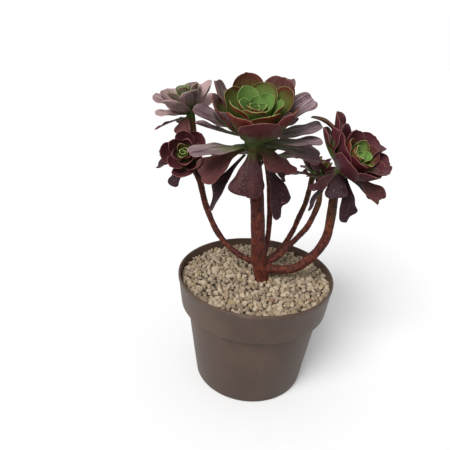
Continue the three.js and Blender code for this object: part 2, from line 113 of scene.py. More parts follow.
def ring_angles(sides: int) -> np.ndarray:
    """The angles of points that stand evenly round a ring."""
    return np.linspace(0.0, FULL_TURN, sides, endpoint=False)


def around(turn: np.ndarray, radius: Numbers, height: Numbers) -> np.ndarray:
    """The places at those angles round an upright axis, that far from it and that high."""
    return np.stack(np.broadcast_arrays(radius * np.cos(turn), radius * np.sin(turn), height), axis=-1)


def square_to(ahead: np.ndarray) -> tuple[np.ndarray, np.ndarray]:
    """Two directions that are square to each direction given, and to each other."""
    across = unit(np.cross([0.0, 1.0, 0.0], ahead))
    return across, np.cross(ahead, across)


def colour(code: str) -> Colour:
    """Turns a colour as it is seen, in six hexadecimal digits, into the renderer's linear one.

    Args:
        code: The colour, such as "6b5c54".

    Returns:
        Red, green, blue and an alpha of 1.
    """
    seen = [int(code[i:i + 2], 16) / 255.0 for i in (0, 2, 4)]
    linear = [c / 12.92 if c <= 0.04045 else ((c + 0.055) / 1.055) ** 2.4 for c in seen]
    return (*linear, 1.0)


def grey(level: float) -> Colour:
    """A neutral colour of that linear level."""
    return (level, level, level, 1.0)


def add_object(name: str, data: bpy.types.ID) -> Object:
    """Adds an object to the scene.

    Args:
        name: Its name.
        data: Its mesh, lamp or camera.

    Returns:
        The new object.
    """
    made = bpy.data.objects.new(name, data)
    bpy.context.scene.collection.objects.link(made)
    return made


class Value:
    """A number that varies over a surface, which Python's operators work on."""

    def __init__(self, shader: "Shader", socket: NodeSocket) -> None:
        """Wraps an output socket of a shader's node."""
        self.shader = shader
        self.socket = socket

    def __add__(self, other: "Value | float") -> "Value":
        """The sum."""
        return self.shader.maths("ADD", self, other)

    __radd__ = __add__

    def __sub__(self, other: "Value | float") -> "Value":
        """The difference."""
        return self.shader.maths("SUBTRACT", self, other)

    def __rsub__(self, other: float) -> "Value":
        """The difference from a plain number."""
        return self.shader.maths("SUBTRACT", other, self)

    def __mul__(self, other: "Value | float") -> "Value":
        """The product."""
        return self.shader.maths("MULTIPLY", self, other)

    __rmul__ = __mul__

    def __lt__(self, other: "Value | float") -> "Value":
        """1 where this is the lesser and 0 elsewhere."""
        return self.shader.maths("LESS_THAN", self, other)

    def rises(self, low: "Value | float", high: "Value | float") -> "Value":
        """A smooth step from 0 where this is low to 1 where it is high."""
        ends = {"Value": self, "From Min": low, "From Max": high}
        return self.shader.value("ShaderNodeMapRange", "Result", {"interpolation_type": "SMOOTHSTEP"}, ends)

    def falls(self, low: "Value | float", high: "Value | float") -> "Value":
        """A smooth step from 1 where this is low to 0 where it is high."""
        return 1.0 - self.rises(low, high)


class Shader:
    """The node tree of a material, or of the world, and short ways to add to it."""

    def __init__(self, tree: NodeTree) -> None:
        """Empties the tree."""
        self.tree = tree
        tree.nodes.clear()

    def node(self, kind: str, settings: dict | None = None, inputs: dict | None = None) -> Node:
        """Adds a node.

        Args:
            kind: The node's type name.
            settings: Its own properties, which are set first, because they can change its sockets.
            inputs: What its sockets take, by name or index: a Value, a socket or a constant.

        Returns:
            The new node.
        """
        node = self.tree.nodes.new(kind)
        for name, setting in (settings or {}).items():
            setattr(node, name, setting)
        for name, given in (inputs or {}).items():
            given = given.socket if isinstance(given, Value) else given
            if isinstance(given, NodeSocket):
                self.tree.links.new(given, node.inputs[name])
            else:
                node.inputs[name].default_value = given
        return node

    def value(self, kind: str, output: str | int, *given: dict) -> Value:
        """One output of a new node, which takes the settings and inputs given, as a number."""
        return Value(self, self.node(kind, *given).outputs[output])

    def maths(self, operation: str, *terms: Value | float) -> Value:
        """A Math node on one or two terms."""
        return self.value("ShaderNodeMath", 0, {"operation": operation}, dict(enumerate(terms)))

    def number(self, name: str) -> Value:
        """A number kept at the mesh's points under that name."""
        return self.value("ShaderNodeAttribute", "Fac", {"attribute_name": name})

    def vector(self, name: str) -> NodeSocket:
        """A vector kept at the mesh's points under that name."""
        return self.node("ShaderNodeAttribute", {"attribute_name": name}).outputs["Vector"]

    def place(self) -> NodeSocket:
        """A point's own place in the frame, in metres."""
        return self.node("ShaderNodeTexCoord").outputs["Object"]

    def height(self, place: NodeSocket) -> Value:
        """How high a place is."""
        return self.value("ShaderNodeSeparateXYZ", "Z", {}, {"Vector": place})

    def scaled(self, place: NodeSocket, *scale: float) -> NodeSocket:
        """A place stretched along its three axes."""
        return self.node("ShaderNodeVectorMath", {"operation": "MULTIPLY"}, {0: place, 1: scale}).outputs[0]

    def noise(self, place: NodeSocket, scale: float, detail: float = 3.0) -> Value:
        """Cloudy noise between 0 and 1, of a scale per unit of the place given."""
        return self.value("ShaderNodeTexNoise", 0, {}, {"Vector": place, "Scale": scale, "Detail": detail})

    def cells(self, place: NodeSocket, scale: float) -> tuple[Value, Value]:
        """Adds scattered cells.

        Args:
            place: Where the texture is read.
            scale: The number of cells per unit of it.

        Returns:
            The distance to the nearest cell's centre, and a random number for each cell.
        """
        node = self.node("ShaderNodeTexVoronoi", {}, {"Vector": place, "Scale": scale})
        lot = self.value("ShaderNodeSeparateColor", 0, {}, {"Color": node.outputs["Color"]})
        return Value(self, node.outputs["Distance"]), lot

    def layers(self, base: Paint, *coats: tuple[Paint, Value | float]) -> NodeSocket:
        """Lays coats of colour over a base with one Mix node each.

        Args:
            base: The colour below them all, as a code, four numbers or a socket.
            coats: The colour of each coat in turn, and how far it covers what lies below.

        Returns:
            The mixed colour's socket.
        """
        for paint, share in coats:
            ends = [colour(end) if isinstance(end, str) else end for end in (base, paint)]
            inputs = {0: share, 6: ends[0], 7: ends[1]}
            base = self.node("ShaderNodeMix", {"data_type": "RGBA"}, inputs).outputs[2]
        return base

    def bump(self, height: Value, depth: float, strength: float) -> NodeSocket:
        """A Bump node's normal, for relief of that depth in millimetres."""
        inputs = {"Height": height, "Distance": depth * MM, "Strength": strength}
        return self.node("ShaderNodeBump", {}, inputs).outputs["Normal"]

    def surface(self, inputs: dict) -> None:
        """Ends a material with a Principled shader that takes those inputs."""
        skin = self.node("ShaderNodeBsdfPrincipled", {}, inputs)
        self.node("ShaderNodeOutputMaterial", {}, {"Surface": skin.outputs[0]})


@dataclass(frozen=True)
class Finish(ABC):
    """What all finishes share: the name of their material, and how their nodes come into it."""

    name: str

    @abstractmethod
    def fill(self, shader: Shader) -> None:
        """Adds the finish's nodes to its material."""

    def material(self) -> Material:
        """Makes the finish's material.

        Returns:
            The new material.
        """
        material = bpy.data.materials.new(self.name)
        material.use_nodes = True
        self.fill(Shader(material.node_tree))
        return material


@dataclass(frozen=True)
class PotFinish(Finish):
    """Matt taupe moulded plastic, a little dusty, with a fine orange-peel skin."""

    name: str = "taupe_plastic"
    light: str = "5a473c"
    dark: str = "4a392f"
    dust: str = "7a6b5e"
    # The colour of the painted shade that darkens the foot.
    foot: str = "3e2f27"
    roughness: float = 0.5
    gloss: float = 0.4
    painted_shade_top: float = 110.0
    painted_shade_full: float = 30.0

    def fill(self, shader: Shader) -> None:
        """Clouds the plastic, darkens its foot with painted shade, and lays runs and flecks of dust on it.

        Args:
            shader: The material's nodes.
        """
        place = shader.place()
        cloud = shader.noise(place, 22.0, 4.0)
        runs = shader.noise(shader.scaled(place, 1.0, 1.0, 0.12), 90.0, 4.0)
        dusty = runs.rises(0.55, 0.8) * cloud.rises(0.4, 0.75) * 0.35
        distance, lot = shader.cells(place, 160.0)
        base = shader.layers(
            self.dark,
            (self.light, cloud.rises(0.3, 0.7)),
            # Painted shade: the plastic grows darker towards the foot, standing in for shade there.
            (self.foot, shader.height(place).falls(self.painted_shade_full * MM, self.painted_shade_top * MM) * 0.5),
            (self.dust, dusty),
            (self.dust, distance.falls(0.08, 0.2) * (lot < 0.12) * 0.5),
        )
        peel = shader.noise(place, 1400.0, 2.0) * 0.5 + shader.noise(place, 60.0)
        shader.surface({
            "Base Color": base,
            "Roughness": self.roughness + 0.16 * (cloud - 0.5) + 0.5 * dusty,
            "Normal": shader.bump(peel, 0.12, 0.5),
            "Specular IOR Level": self.gloss,
        })


@dataclass(frozen=True)
class MixFinish(Finish):
    """Dark, damp, bark-based potting mix."""

    name: str = "potting_mix"
    dark: str = "1f1611"
    light: str = "4a3527"
    roughness: float = 0.8

    def fill(self, shader: Shader) -> None:
        """Breaks the mix up into crumbs, each of its own shade.

        Args:
            shader: The material's nodes.
        """
        place = shader.place()
        crumb, lot = shader.cells(place, 320.0)
        fine = shader.noise(place, 900.0)
        shader.surface({
            "Base Color": shader.layers(self.dark, (self.light, lot * 0.7 + 0.3 * fine)),
            "Roughness": self.roughness + 0.15 * fine,
            "Normal": shader.bump(fine - crumb, 1.2, 0.8),
        })


@dataclass(frozen=True)
class PumiceFinish(Finish):
    """Dusty pumice: each grain has its own shade, and a few are yellow, grey or red."""

    name: str = "pumice_grit"
    cream: str = "b8a78f"
    buff: str = "8a755f"
    # The colour of the painted shade in the grains' pits and between them.
    painted_gap_shade: str = "2c221a"
    roughness: float = 0.85
    gloss: float = 0.25
    odd: tuple[tuple[str, float, float, float], ...] = (
        ("796c5f", 17.0, 0.16, 0.6), ("96835a", 41.0, 0.06, 0.5), ("6e4534", 73.0, 0.02, 0.6),
    )

    def fill(self, shader: Shader) -> None:
        """Tints each grain by its lot, and paints shade into its pits and where a point lies deep.

        An odd grain's row is its colour, the factor that makes a draw of its own out of the lot, the
        share of the grains that have it, and how far it covers them.

        Args:
            shader: The material's nodes.
        """
        place = shader.place()
        lot = shader.number("lot")
        cloud = shader.noise(place, 260.0, 4.0)
        pores, _ = shader.cells(place, 1500.0)
        odd = [
            (code, (shader.maths("FRACT", lot * factor) < share) * cover)
            for code, factor, share, cover in self.odd
        ]
        base = shader.layers(
            self.buff,
            (self.cream, (lot * 0.75 + 0.5 * cloud).rises(0.1, 0.95)),
            *odd,
            # Painted shade: the gap colour darkens each grain's pits, and a point the deeper it lies below
            # the top.
            (self.painted_gap_shade, pores.falls(0.1, 0.35) * 0.35),
            (self.painted_gap_shade, shader.number("depth").rises(0.35, 1.0) * 0.8),
        )
        shader.surface({
            "Base Color": base,
            "Roughness": self.roughness + 0.1 * cloud,
            "Normal": shader.bump(shader.noise(place, 900.0, 4.0) + 0.6 * pores, 0.5, 0.7),
            "Specular IOR Level": self.gloss,
        })


@dataclass(frozen=True)
class BarkFinish(Finish):
    """Smooth red-brown bark with lengthwise streaks and leaf scars, green where it is young."""

    name: str = "succulent_bark"
    red: str = "60281e"
    brown: str = "2a0f0c"
    tan: str = "8e5028"
    olive: str = "574020"
    green: str = "4a5c26"
    scarred: str = "26110b"
    roughness: float = 0.5
    gloss: float = 0.26

    def fill(self, shader: Shader) -> None:
        """Streaks the bark, and shades a point by its youth and by the scar that it lies in.

        Args:
            shader: The material's nodes.
        """
        bark = shader.vector("bark")
        youth = shader.number("youth")
        scar = shader.number("scar")
        streak = shader.noise(shader.scaled(bark, 1.0, 1.0, 0.09), 1.1, 4.0)
        cloud = shader.noise(bark, 0.09)
        fine = shader.noise(shader.scaled(bark, 1.0, 1.0, 0.15), 3.2)
        base = shader.layers(
            self.brown,
            (self.red, (streak * 0.9 + cloud * 0.4).rises(0.42, 0.82)),
            (self.tan, (streak * 0.7 + cloud * 0.5).rises(0.6, 0.8) * (0.35 + 0.4 * youth)),
            (self.olive, (youth + 0.3 * (streak - 0.5)).rises(0.45, 0.95) * 0.75),
            (self.green, (youth + 0.1 * (streak - 0.5)).rises(1.25, 1.9)),
            (self.scarred, scar * 0.85),
        )
        shader.surface({
            "Base Color": base,
            "Roughness": self.roughness + 0.25 * cloud + 0.15 * scar,
            "Normal": shader.bump(fine + 0.8 * streak, 0.45, 0.7),
            "Specular IOR Level": self.gloss,
        })


@dataclass(frozen=True)
class LeafFinish(Finish):
    """Waxy leaf skin. What it shows depends on the leaf's age and on which face is seen."""

    name: str = "leaf_skin"
    heart: str = "6c9048"
    low: str = "5e682e"
    brown_red: str = "5c2c1e"
    inner_maroon: str = "582c32"
    outer_green: str = "4c6028"
    brick: str = "6c2820"
    maroon: str = "4c1822"
    bloom: str = "806e73"
    frost: str = "caaca8"
    bloom_green: str = "6a7050"
    bloom_streak: str = "603c44"
    dull: str = "5e3230"
    dark: str = "280a14"
    dry: str = "4a331e"
    rim_young: str = "98b066"
    rim_old: str = "96625a"
    speck: str = "c4b4ae"
    roughness: float = 0.44
    gloss: float = 0.22
    glow: float = 0.08
    glow_colour: tuple[float, float, float] = (0.6, 1.0, 0.3)
    glow_depth: float = 2.0

    def fill(self, shader: Shader) -> None:
        """Mixes the skin from the numbers that LeafHead and LeafShape keep at the leaves' points.

        Args:
            shader: The material's nodes.
        """
        along, margin, green, bloom, dusk = map(shader.number, ("along", "margin", "green", "bloom", "dusk"))
        inner = shader.number("face").rises(-0.12, 0.12)
        place = shader.vector("leaf")
        streak = shader.noise(shader.scaled(place, 0.06, 1.0, 1.0), 0.42, 4.0)
        cloud = shader.noise(place, 0.11)
        drift = cloud - 0.5
        mottle = shader.noise(place, 0.9, 4.0) - 0.5
        ripe = along + 0.24 * (streak - 0.5) + 0.3 * margin.falls(0.0, 7.0) + 0.24 * drift + 0.14 * mottle

        powder = (streak + 0.3 * mottle).falls(0.34, 0.47) * along.rises(0.15, 0.6)
        bloomed = shader.layers(
            self.bloom_green,
            (self.bloom, (along + 0.3 * drift).rises(0.3, 0.75)),
            (self.bloom_streak, (streak + 0.25 * drift).rises(0.5, 0.66) * 0.8),
            (self.frost, bloom.rises(0.95, 1.5) * 0.85),
            (self.frost, powder * 0.42),
        )
        inside_turn = 0.36 + 0.62 * green
        inside_tip = shader.layers(self.inner_maroon, (self.brown_red, green.rises(0.02, 0.45)))
        inside = shader.layers(
            self.low,
            (self.heart, green.rises(0.45, 0.95)),
            (self.rim_young, (streak + 0.3 * mottle).rises(0.5, 0.72) * 0.16),
            (inside_tip, ripe.rises(inside_turn, inside_turn + 0.42) * green.falls(0.6, 0.9)),
            (bloomed, bloom * along.rises(0.1, 0.4)),
        )
        outside_turn = 0.36 + 0.5 * green
        outside_tip = shader.layers(self.maroon, (self.brick, green.rises(0.06, 0.4)))
        outside = shader.layers(
            self.outer_green,
            (outside_tip, ripe.rises(outside_turn, outside_turn + 0.34)),
            (bloomed, bloom * along.rises(0.1, 0.5) * 0.8),
        )

        gloom = shader.layers(self.dull, (self.dark, (dusk + 0.3 * drift).rises(0.6, 1.05)))
        vein = (cloud * 0.4 + streak * 0.7).rises(0.45, 0.72) * green.falls(0.2, 0.7)
        fleck = shader.noise(shader.scaled(place, 0.22, 1.0, 1.0), 1.3)
        rim = shader.layers(self.rim_old, (self.rim_young, green.rises(0.25, 0.65)))
        rim_share = margin.falls(0.2, 0.85) * along.rises(0.15, 0.5)
        distance, lot = shader.cells(place, 0.36)
        specks = distance.falls(0.05, 0.17) * (lot < 0.42) * dusk.rises(0.15, 0.5) * 0.75
        base = shader.layers(
            outside,
            (inside, inner),
            (gloom, dusk.rises(0.0, 0.4) * (along + 0.3 * dusk).rises(0.2, 0.6)),
            (self.dry, shader.number("dry")),
            (self.dark, vein * 0.34),
            (self.speck, fleck.rises(0.56, 0.74) * dusk.rises(0.1, 0.4) * 0.13),
            (rim, rim_share * (0.72 - 0.35 * dusk - 0.12 * bloom)),
            (self.speck, specks),
        )
        relief = streak + 0.25 * shader.noise(place, 2.4, 2.0) + 0.6 * specks
        shader.surface({
            "Base Color": base,
            "Roughness": self.roughness + 0.16 * cloud + 0.12 * bloom + 0.08 * dusk,
            "Normal": shader.bump(relief, 0.6, 0.6),
            "Specular IOR Level": self.gloss,
            "Subsurface Weight": self.glow,
            "Subsurface Radius": self.glow_colour,
            "Subsurface Scale": self.glow_depth * MM,
        })


@dataclass(frozen=True)
class FloorFinish(Finish):
    """The plain pale floor of the studio."""

    name: str = "studio_floor"
    shade: float = 0.88
    roughness: float = 0.9

    def fill(self, shader: Shader) -> None:
        """Sets one pale grey all over."""
        shader.surface({"Base Color": grey(self.shade), "Roughness": self.roughness})


@dataclass
class Mesh:
    """Closed bodies that make up one mesh, each with its points, its faces and its numbers."""

    bodies: list[tuple[np.ndarray, np.ndarray, dict[str, Numbers]]] = field(default_factory=list)

    def add(self, points: np.ndarray, faces: np.ndarray, **numbers: Numbers) -> None:
        """Adds a closed body.

        Args:
            points: Its points, in millimetres.
            faces: Its faces of three or four corners each, as indices into its points. A face of
                three repeats its last corner.
            numbers: What is kept at its points, by name: one number for them all, or one or three
                for each.
        """
        self.bodies.append((points, faces, numbers))

    def kept(self, name: str) -> np.ndarray:
        """Gathers what is kept at the points under a name.

        Args:
            name: The name.

        Returns:
            One or three numbers for each point, which are 0 in a body that keeps nothing there.
        """
        shape = max(np.shape(numbers[name])[1:] for _, _, numbers in self.bodies if name in numbers)
        filled = [
            np.broadcast_to(numbers.get(name, 0.0), (len(points), *shape))
            for points, _, numbers in self.bodies
        ]
        return np.concatenate(filled).astype(np.float32)

    def data(self, name: str) -> bpy.types.Mesh:
        """Makes the mesh, in metres.

        Args:
            name: Its name.

        Returns:
            The new mesh, with the numbers at its points.
        """
        corners = []
        count = 0
        for points, faces, _ in self.bodies:
            corners += (faces + count).tolist()
            count += len(points)
        points = np.concatenate([points for points, _, _ in self.bodies]) * MM
        mesh = bpy.data.meshes.new(name)
        mesh.from_pydata(points.tolist(), [], [list(dict.fromkeys(face)) for face in corners])
        for key in dict.fromkeys(key for _, _, numbers in self.bodies for key in numbers):
            values = self.kept(key)
            kind, part = ("FLOAT", "value") if values.ndim == 1 else ("FLOAT_VECTOR", "vector")
            mesh.attributes.new(key, kind, "POINT").data.foreach_set(part, values.ravel())
        return mesh

    def piece(self, name: str, slot: Slot, material: Material, node: str) -> Object:
        """Makes the piece, which rides on the plant's body and stands for a node.

        Args:
            name: The piece's name.
            slot: The record's slot for its finish. It is not used.
            material: Its material.
            node: The node of the frame that it stands for, alone or with other pieces.

        Returns:
            The new object.
        """
        mesh = self.data(name)
        mesh.shade_smooth()
        mesh.materials.append(material)
        piece = add_object(name, mesh)
        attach(piece, BODY)
        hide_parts(node)
        LOG.info("%s: %d points, %d faces, for %s", name, len(mesh.vertices), len(mesh.polygons), node)
        return piece


def ring_faces(rings: int, sides: int, closed: bool = False) -> np.ndarray:
    """The faces between rings of points, where each ring closes on itself.

    Args:
        rings: The number of rings, one after the other.
        sides: The number of points in each.
        closed: Whether the last ring joins the first.

    Returns:
        Faces of four corners, which look outwards where the rings run anticlockwise seen from
        the last one.
    """
    ring, side = np.meshgrid(np.arange(rings if closed else rings - 1), np.arange(sides), indexing="ij")
    after = (ring + 1) % rings * sides
    beside = (side + 1) % sides
    corners = [ring * sides + side, ring * sides + beside, after + beside, after + side]
    return np.stack(corners, axis=-1).reshape(-1, 4)


def capped_tube(rings: np.ndarray, low: np.ndarray, high: np.ndarray) -> tuple[np.ndarray, np.ndarray]:
    """Closes a stack of rings with a fan at each end.

    Args:
        rings: The rings' points, of shape (rings, sides, 3).
        low: The point that closes the first ring.
        high: The point that closes the last.

    Returns:
        All points, the two closing ones last, and the faces.
    """
    count, sides, _ = rings.shape
    side = np.arange(sides)
    ahead = (side + 1) % sides
    last = (count - 1) * sides
    first_end = np.full(sides, count * sides)
    last_end = first_end + 1
    low_fan = np.stack([ahead, side, first_end, first_end], axis=1)
    high_fan = np.stack([last + side, last + ahead, last_end, last_end], axis=1)
    points = np.concatenate([rings.reshape(-1, 3), [low, high]])
    return points, np.concatenate([ring_faces(count, sides), low_fan, high_fan])


def with_ends(rings: np.ndarray, low: float, high: float) -> np.ndarray:
    """A number for each point of a capped tube: those of its rings, and the two closing ones."""
    return np.concatenate([rings.ravel(), [low, high]])


def sweep(centres: np.ndarray, radii: np.ndarray, sides: int) -> np.ndarray:
    """Lays round rings square to a line.

    Args:
        centres: The line's points.
        radii: The ring's radius at each.
        sides: The number of points in a ring.

    Returns:
        The rings' points, of shape (rings, sides, 3).
    """
    across, up = square_to(unit(np.gradient(centres, axis=0)))
    turn = ring_angles(sides)[None, :, None]
    outward = np.cos(turn) * across[:, None] + np.sin(turn) * up[:, None]
    return centres[:, None] + radii[:, None, None] * outward


@dataclass(frozen=True)
class Limb:
    """A woody limb: the points of its centre line, and its radii spread evenly along it."""

    line: tuple[tuple[float, float, float], ...]
    radii: tuple[float, ...]

    def point(self, share: np.ndarray) -> np.ndarray:
        """Finds points of the centre line, by the same spline as in the part's source.

        Args:
            share: How far along the line each point is, from 0 to 1.

        Returns:
            The points, one in each row.
        """
        line = np.array(self.line, float)
        knots = np.concatenate([[2 * line[0] - line[1]], line, [2 * line[-1] - line[-2]]])
        run = np.clip(share, 0.0, 1.0) * (len(line) - 1)
        first = np.minimum(np.floor(run).astype(int), len(line) - 2)
        part = (run - first)[:, None]
        before, start, end, after = (knots[first + k] for k in range(4))
        leave = 0.5 * (end - before)
        arrive = 0.5 * (after - start)
        square = -3.0 * start + 3.0 * end - 2.0 * leave - arrive
        cube = 2.0 * start - 2.0 * end + leave + arrive
        return start + leave * part + square * part ** 2 + cube * part ** 3

    def tangent(self, share: np.ndarray) -> np.ndarray:
        """The centre line's directions at shares of its run."""
        return unit(self.point(np.minimum(share + 1e-4, 1.0)) - self.point(np.maximum(share - 1e-4, 0.0)))

    def end(self) -> tuple[np.ndarray, np.ndarray]:
        """The last point of the centre line, and its direction there."""
        last = np.ones(1)
        return self.point(last)[0], self.tangent(last)[0]

    def radius(self, share: np.ndarray) -> np.ndarray:
        """The radii at shares of its run."""
        return np.interp(share, np.linspace(0.0, 1.0, len(self.radii)), self.radii)

    def length(self) -> float:
        """The length of the centre line."""
        points = self.point(np.linspace(0.0, 1.0, 200))
        return float(np.linalg.norm(np.diff(points, axis=0), axis=1).sum())


@dataclass(frozen=True)
class Leaf:
    """A leaf by its place on the head, its bend, its size and its age."""

    azimuth: float
    root: float
    reach: float
    rise: float
    tip: float
    length: float
    width: float
    cup: float = 0.2
    roll: float = 0.0
    youth: float = 0.0
    stage: Stage = Stage.CROWN
    seed: int = 0

    def slope(self) -> float:
        """How steeply the leaf rises from its root to its tip, in degrees."""
        return 0.5 * (self.rise + self.tip)


@dataclass(frozen=True)
class Outline:
    """How a kind of leaf widens: where it is widest, how wide its root is, how late it widens, and
    how square its end is.
    """

    widest: float
    claw: float
    swell: float
    squareness: float = 2.7

    def half(self, along: np.ndarray) -> np.ndarray:
        """Finds the half width along the leaf.

        Args:
            along: How far from the root to the tip, from 0 to 1.

        Returns:
            The half width there as a share of the widest, which closes in a round tip.
        """
        swell = np.sin(0.5 * np.pi * np.minimum(along / self.widest, 1.0)) ** self.swell
        close = np.clip((along - self.widest) / (1.0 - self.widest), 0.0, 1.0)
        return blend(self.claw, 1.0, swell) * np.sqrt(np.maximum(1.0 - close ** self.squareness, 0.0))


@dataclass(frozen=True)
class LeafShape:
    """The form that all leaves share, as in the part's source, but with finer edges.

    Thicknesses, the point and the tightest wrap are in millimetres, and the other sizes are shares
    of the leaf's length or width. A wave is its height, its count along the leaf, and its slant.
    """

    spreading: Outline = Outline(0.74, 0.24, 1.6)
    hung: Outline = Outline(0.86, 0.24, 2.6)
    cupped: Outline = Outline(0.66, 0.36, 1.2, 2.3)
    root_thickness: float = 1.6
    thicker_by: float = 0.012
    thinner_by: float = 0.3
    upper_share: float = 0.8
    tightest_wrap: float = 4.0
    flattest: float = 1.15
    rows: int = 26
    ring: int = 30
    crowding: float = 1.9
    end_gap: float = 1e-3
    tip_start: float = 0.72
    notch: float = 0.075
    notch_width: float = 0.2
    point: float = 0.7
    point_width: float = 1.3
    skew: float = 0.3
    heart_wave: float = 0.03
    crown_wave: float = 0.05
    loose_wave: float = 0.13
    wave_edge: float = 1.6
    waves: tuple[tuple[float, float, float], ...] = ((1.0, 1.2, 2.2), (0.6, 2.7, -2.8))
    groove: float = 0.035
    groove_width: float = 0.14
    sway: float = 5.0

    def outline(self, leaf: Leaf) -> Outline:
        """The outline of the leaf's kind: hanging, spreading, or cupped round the heart."""
        standing = self.cupped if leaf.slope() >= CUPPED_SLOPE else self.spreading
        return self.hung if leaf.slope() <= HANGING_SLOPE else standing

    def blade(self, leaf: Leaf) -> tuple[np.ndarray, np.ndarray, dict[str, np.ndarray]]:
        """Builds a leaf as a closed blade with a lens-shaped section.

        Args:
            leaf: The leaf.

        Returns:
            Its points about the head's upright axis, its faces, and the numbers at its points.
        """
        phase, second, sway, notch_draw = np.random.default_rng(leaf.seed).uniform(size=4)
        row = np.linspace(0.0, 1.0, self.rows + 1)[1:]
        along = (1.0 - (1.0 - row) ** self.crowding)[:, None]
        along[-1] = 1.0 - self.end_gap
        turn = ring_angles(self.ring)[None, :]
        across = np.cos(turn)
        face = np.sin(turn)
        half = 0.5 * leaf.width * self.outline(leaf).half(along)
        flat = across * half
        wide = self.notch_width * leaf.width
        broad = self.notch * leaf.length * notch_draw * np.exp(-(flat / wide) ** 2)
        sharp = self.point * np.exp(-(flat / self.point_width) ** 2)
        skewed = self.skew * (second - 0.5) * leaf.length * (leaf.stage is Stage.HANGING)
        along = along - ease(self.tip_start, 1.0, along) * (broad - sharp - skewed * across) / leaf.length

        in_crown = leaf.stage is Stage.CROWN
        loose = self.heart_wave + self.crown_wave * (1.0 - leaf.youth) if in_crown else self.loose_wave
        ripple = sum(
            height * np.sin(FULL_TURN * (count * along + shift) + slant * across)
            for (height, count, slant), shift in zip(self.waves, (phase, second))
        )
        stout = self.root_thickness + self.thicker_by * leaf.length
        body = 0.5 * stout * (1.0 - self.thinner_by * along) * np.where(face > 0.0, self.upper_share, 1.0)
        lift = leaf.cup * half * across ** 2 + face * body
        lift = lift + loose * half * np.abs(across) ** self.wave_edge * ripple * ease(0.1, 0.6, along)
        midrib = np.exp(-(across / self.groove_width) ** 2)
        lift = lift - self.groove * half * midrib * ease(0.05, 0.3, along)

        start = math.radians(leaf.rise)
        bend = math.radians(leaf.tip - leaf.rise) or 1e-6
        angle = start + bend * along
        out = leaf.reach + leaf.length * (np.sin(angle) - math.sin(start)) / bend
        high = leaf.root + leaf.length * (math.cos(start) - np.cos(angle)) / bend
        lean = math.radians(leaf.roll + self.sway * (sway - 0.5)) * along
        side = flat * np.cos(lean) - lift * np.sin(lean)
        normal = flat * np.sin(lean) + lift * np.cos(lean)
        wrap = np.maximum(np.maximum(out, self.flattest * half), self.tightest_wrap)
        far = wrap - normal * np.sin(angle)
        radial = out - wrap + far * np.cos(side / wrap)
        tangent = far * np.sin(side / wrap)
        spin = math.radians(leaf.azimuth)
        rings = np.stack([
            radial * math.cos(spin) - tangent * math.sin(spin),
            radial * math.sin(spin) + tangent * math.cos(spin),
            high + normal * np.cos(angle),
        ], axis=-1)
        points, faces = capped_tube(rings, rings[0].mean(axis=0), rings[-1].mean(axis=0))

        along, face, sideways = np.broadcast_arrays(along, face, 0.5 * leaf.width * across)
        grids = {"along": along, "face": face, "margin": half * (1.0 - np.abs(across))}
        numbers = {name: with_ends(grid, grid[0].mean(), grid[-1].mean()) for name, grid in grids.items()}
        numbers["leaf"] = np.stack([
            with_ends(along * leaf.length, 0.0, leaf.length),
            with_ends(sideways, 0.0, 0.0),
            np.full(len(points), 37.0 * leaf.seed % 1000.0),
        ], axis=1)
        return points, faces, numbers


@dataclass(frozen=True)
class Crown:
    """The leaves that stand up round a head's heart. A pair runs from the oldest to the youngest."""

    count: int
    start: float
    root: tuple[float, float]
    rise: tuple[float, float]
    tip: tuple[float, float]
    length: tuple[float, float]
    width: tuple[float, float]
    cup: tuple[float, float]

    def leaves(self, waist: float) -> list[Leaf]:
        """Sets the leaves on their golden spiral, as in the part's source.

        Args:
            waist: The radius of the head where the crown begins.

        Returns:
            The leaves, from the oldest to the youngest.
        """
        leaves = []
        for i in range(self.count):
            youth = i / (self.count - 1)
            sway = draw(i + self.start) - 0.5
            leaves.append(Leaf(
                azimuth=self.start + GOLDEN_ANGLE * i + 8.0 * sway,
                root=blend(*self.root, youth),
                reach=waist * blend(0.7, 0.1, youth),
                rise=blend(*self.rise, youth ** 2) + 2.0 * sway,
                tip=blend(*self.tip, youth) + 4.0 * sway,
                length=blend(*self.length, youth ** 1.2) * (1.0 + 0.06 * sway),
                width=blend(*self.width, youth ** 1.5),
                cup=blend(*self.cup, youth),
                youth=youth,
            ))
        return leaves


@dataclass(frozen=True)
class Head:
    """A head: its leafy neck, its leaning crown, and the listed leaves that spread or hang below.

    A listed leaf is (azimuth, height of the root, rise, tip, length, width, cup, roll), where a cup
    of 0.2 and a roll of 0 are left out. One of them may have dried. Wine darkens the head, and pale
    greys it with bloom, each from 0 to 1.
    """

    name: str
    seed: int
    neck: float
    waist: float
    depth: float
    lean: float
    facing: float
    crown: Crown
    listed: tuple[tuple[float, ...], ...]
    dried: int | None = None
    wine: float = 0.0
    pale: float = 0.0


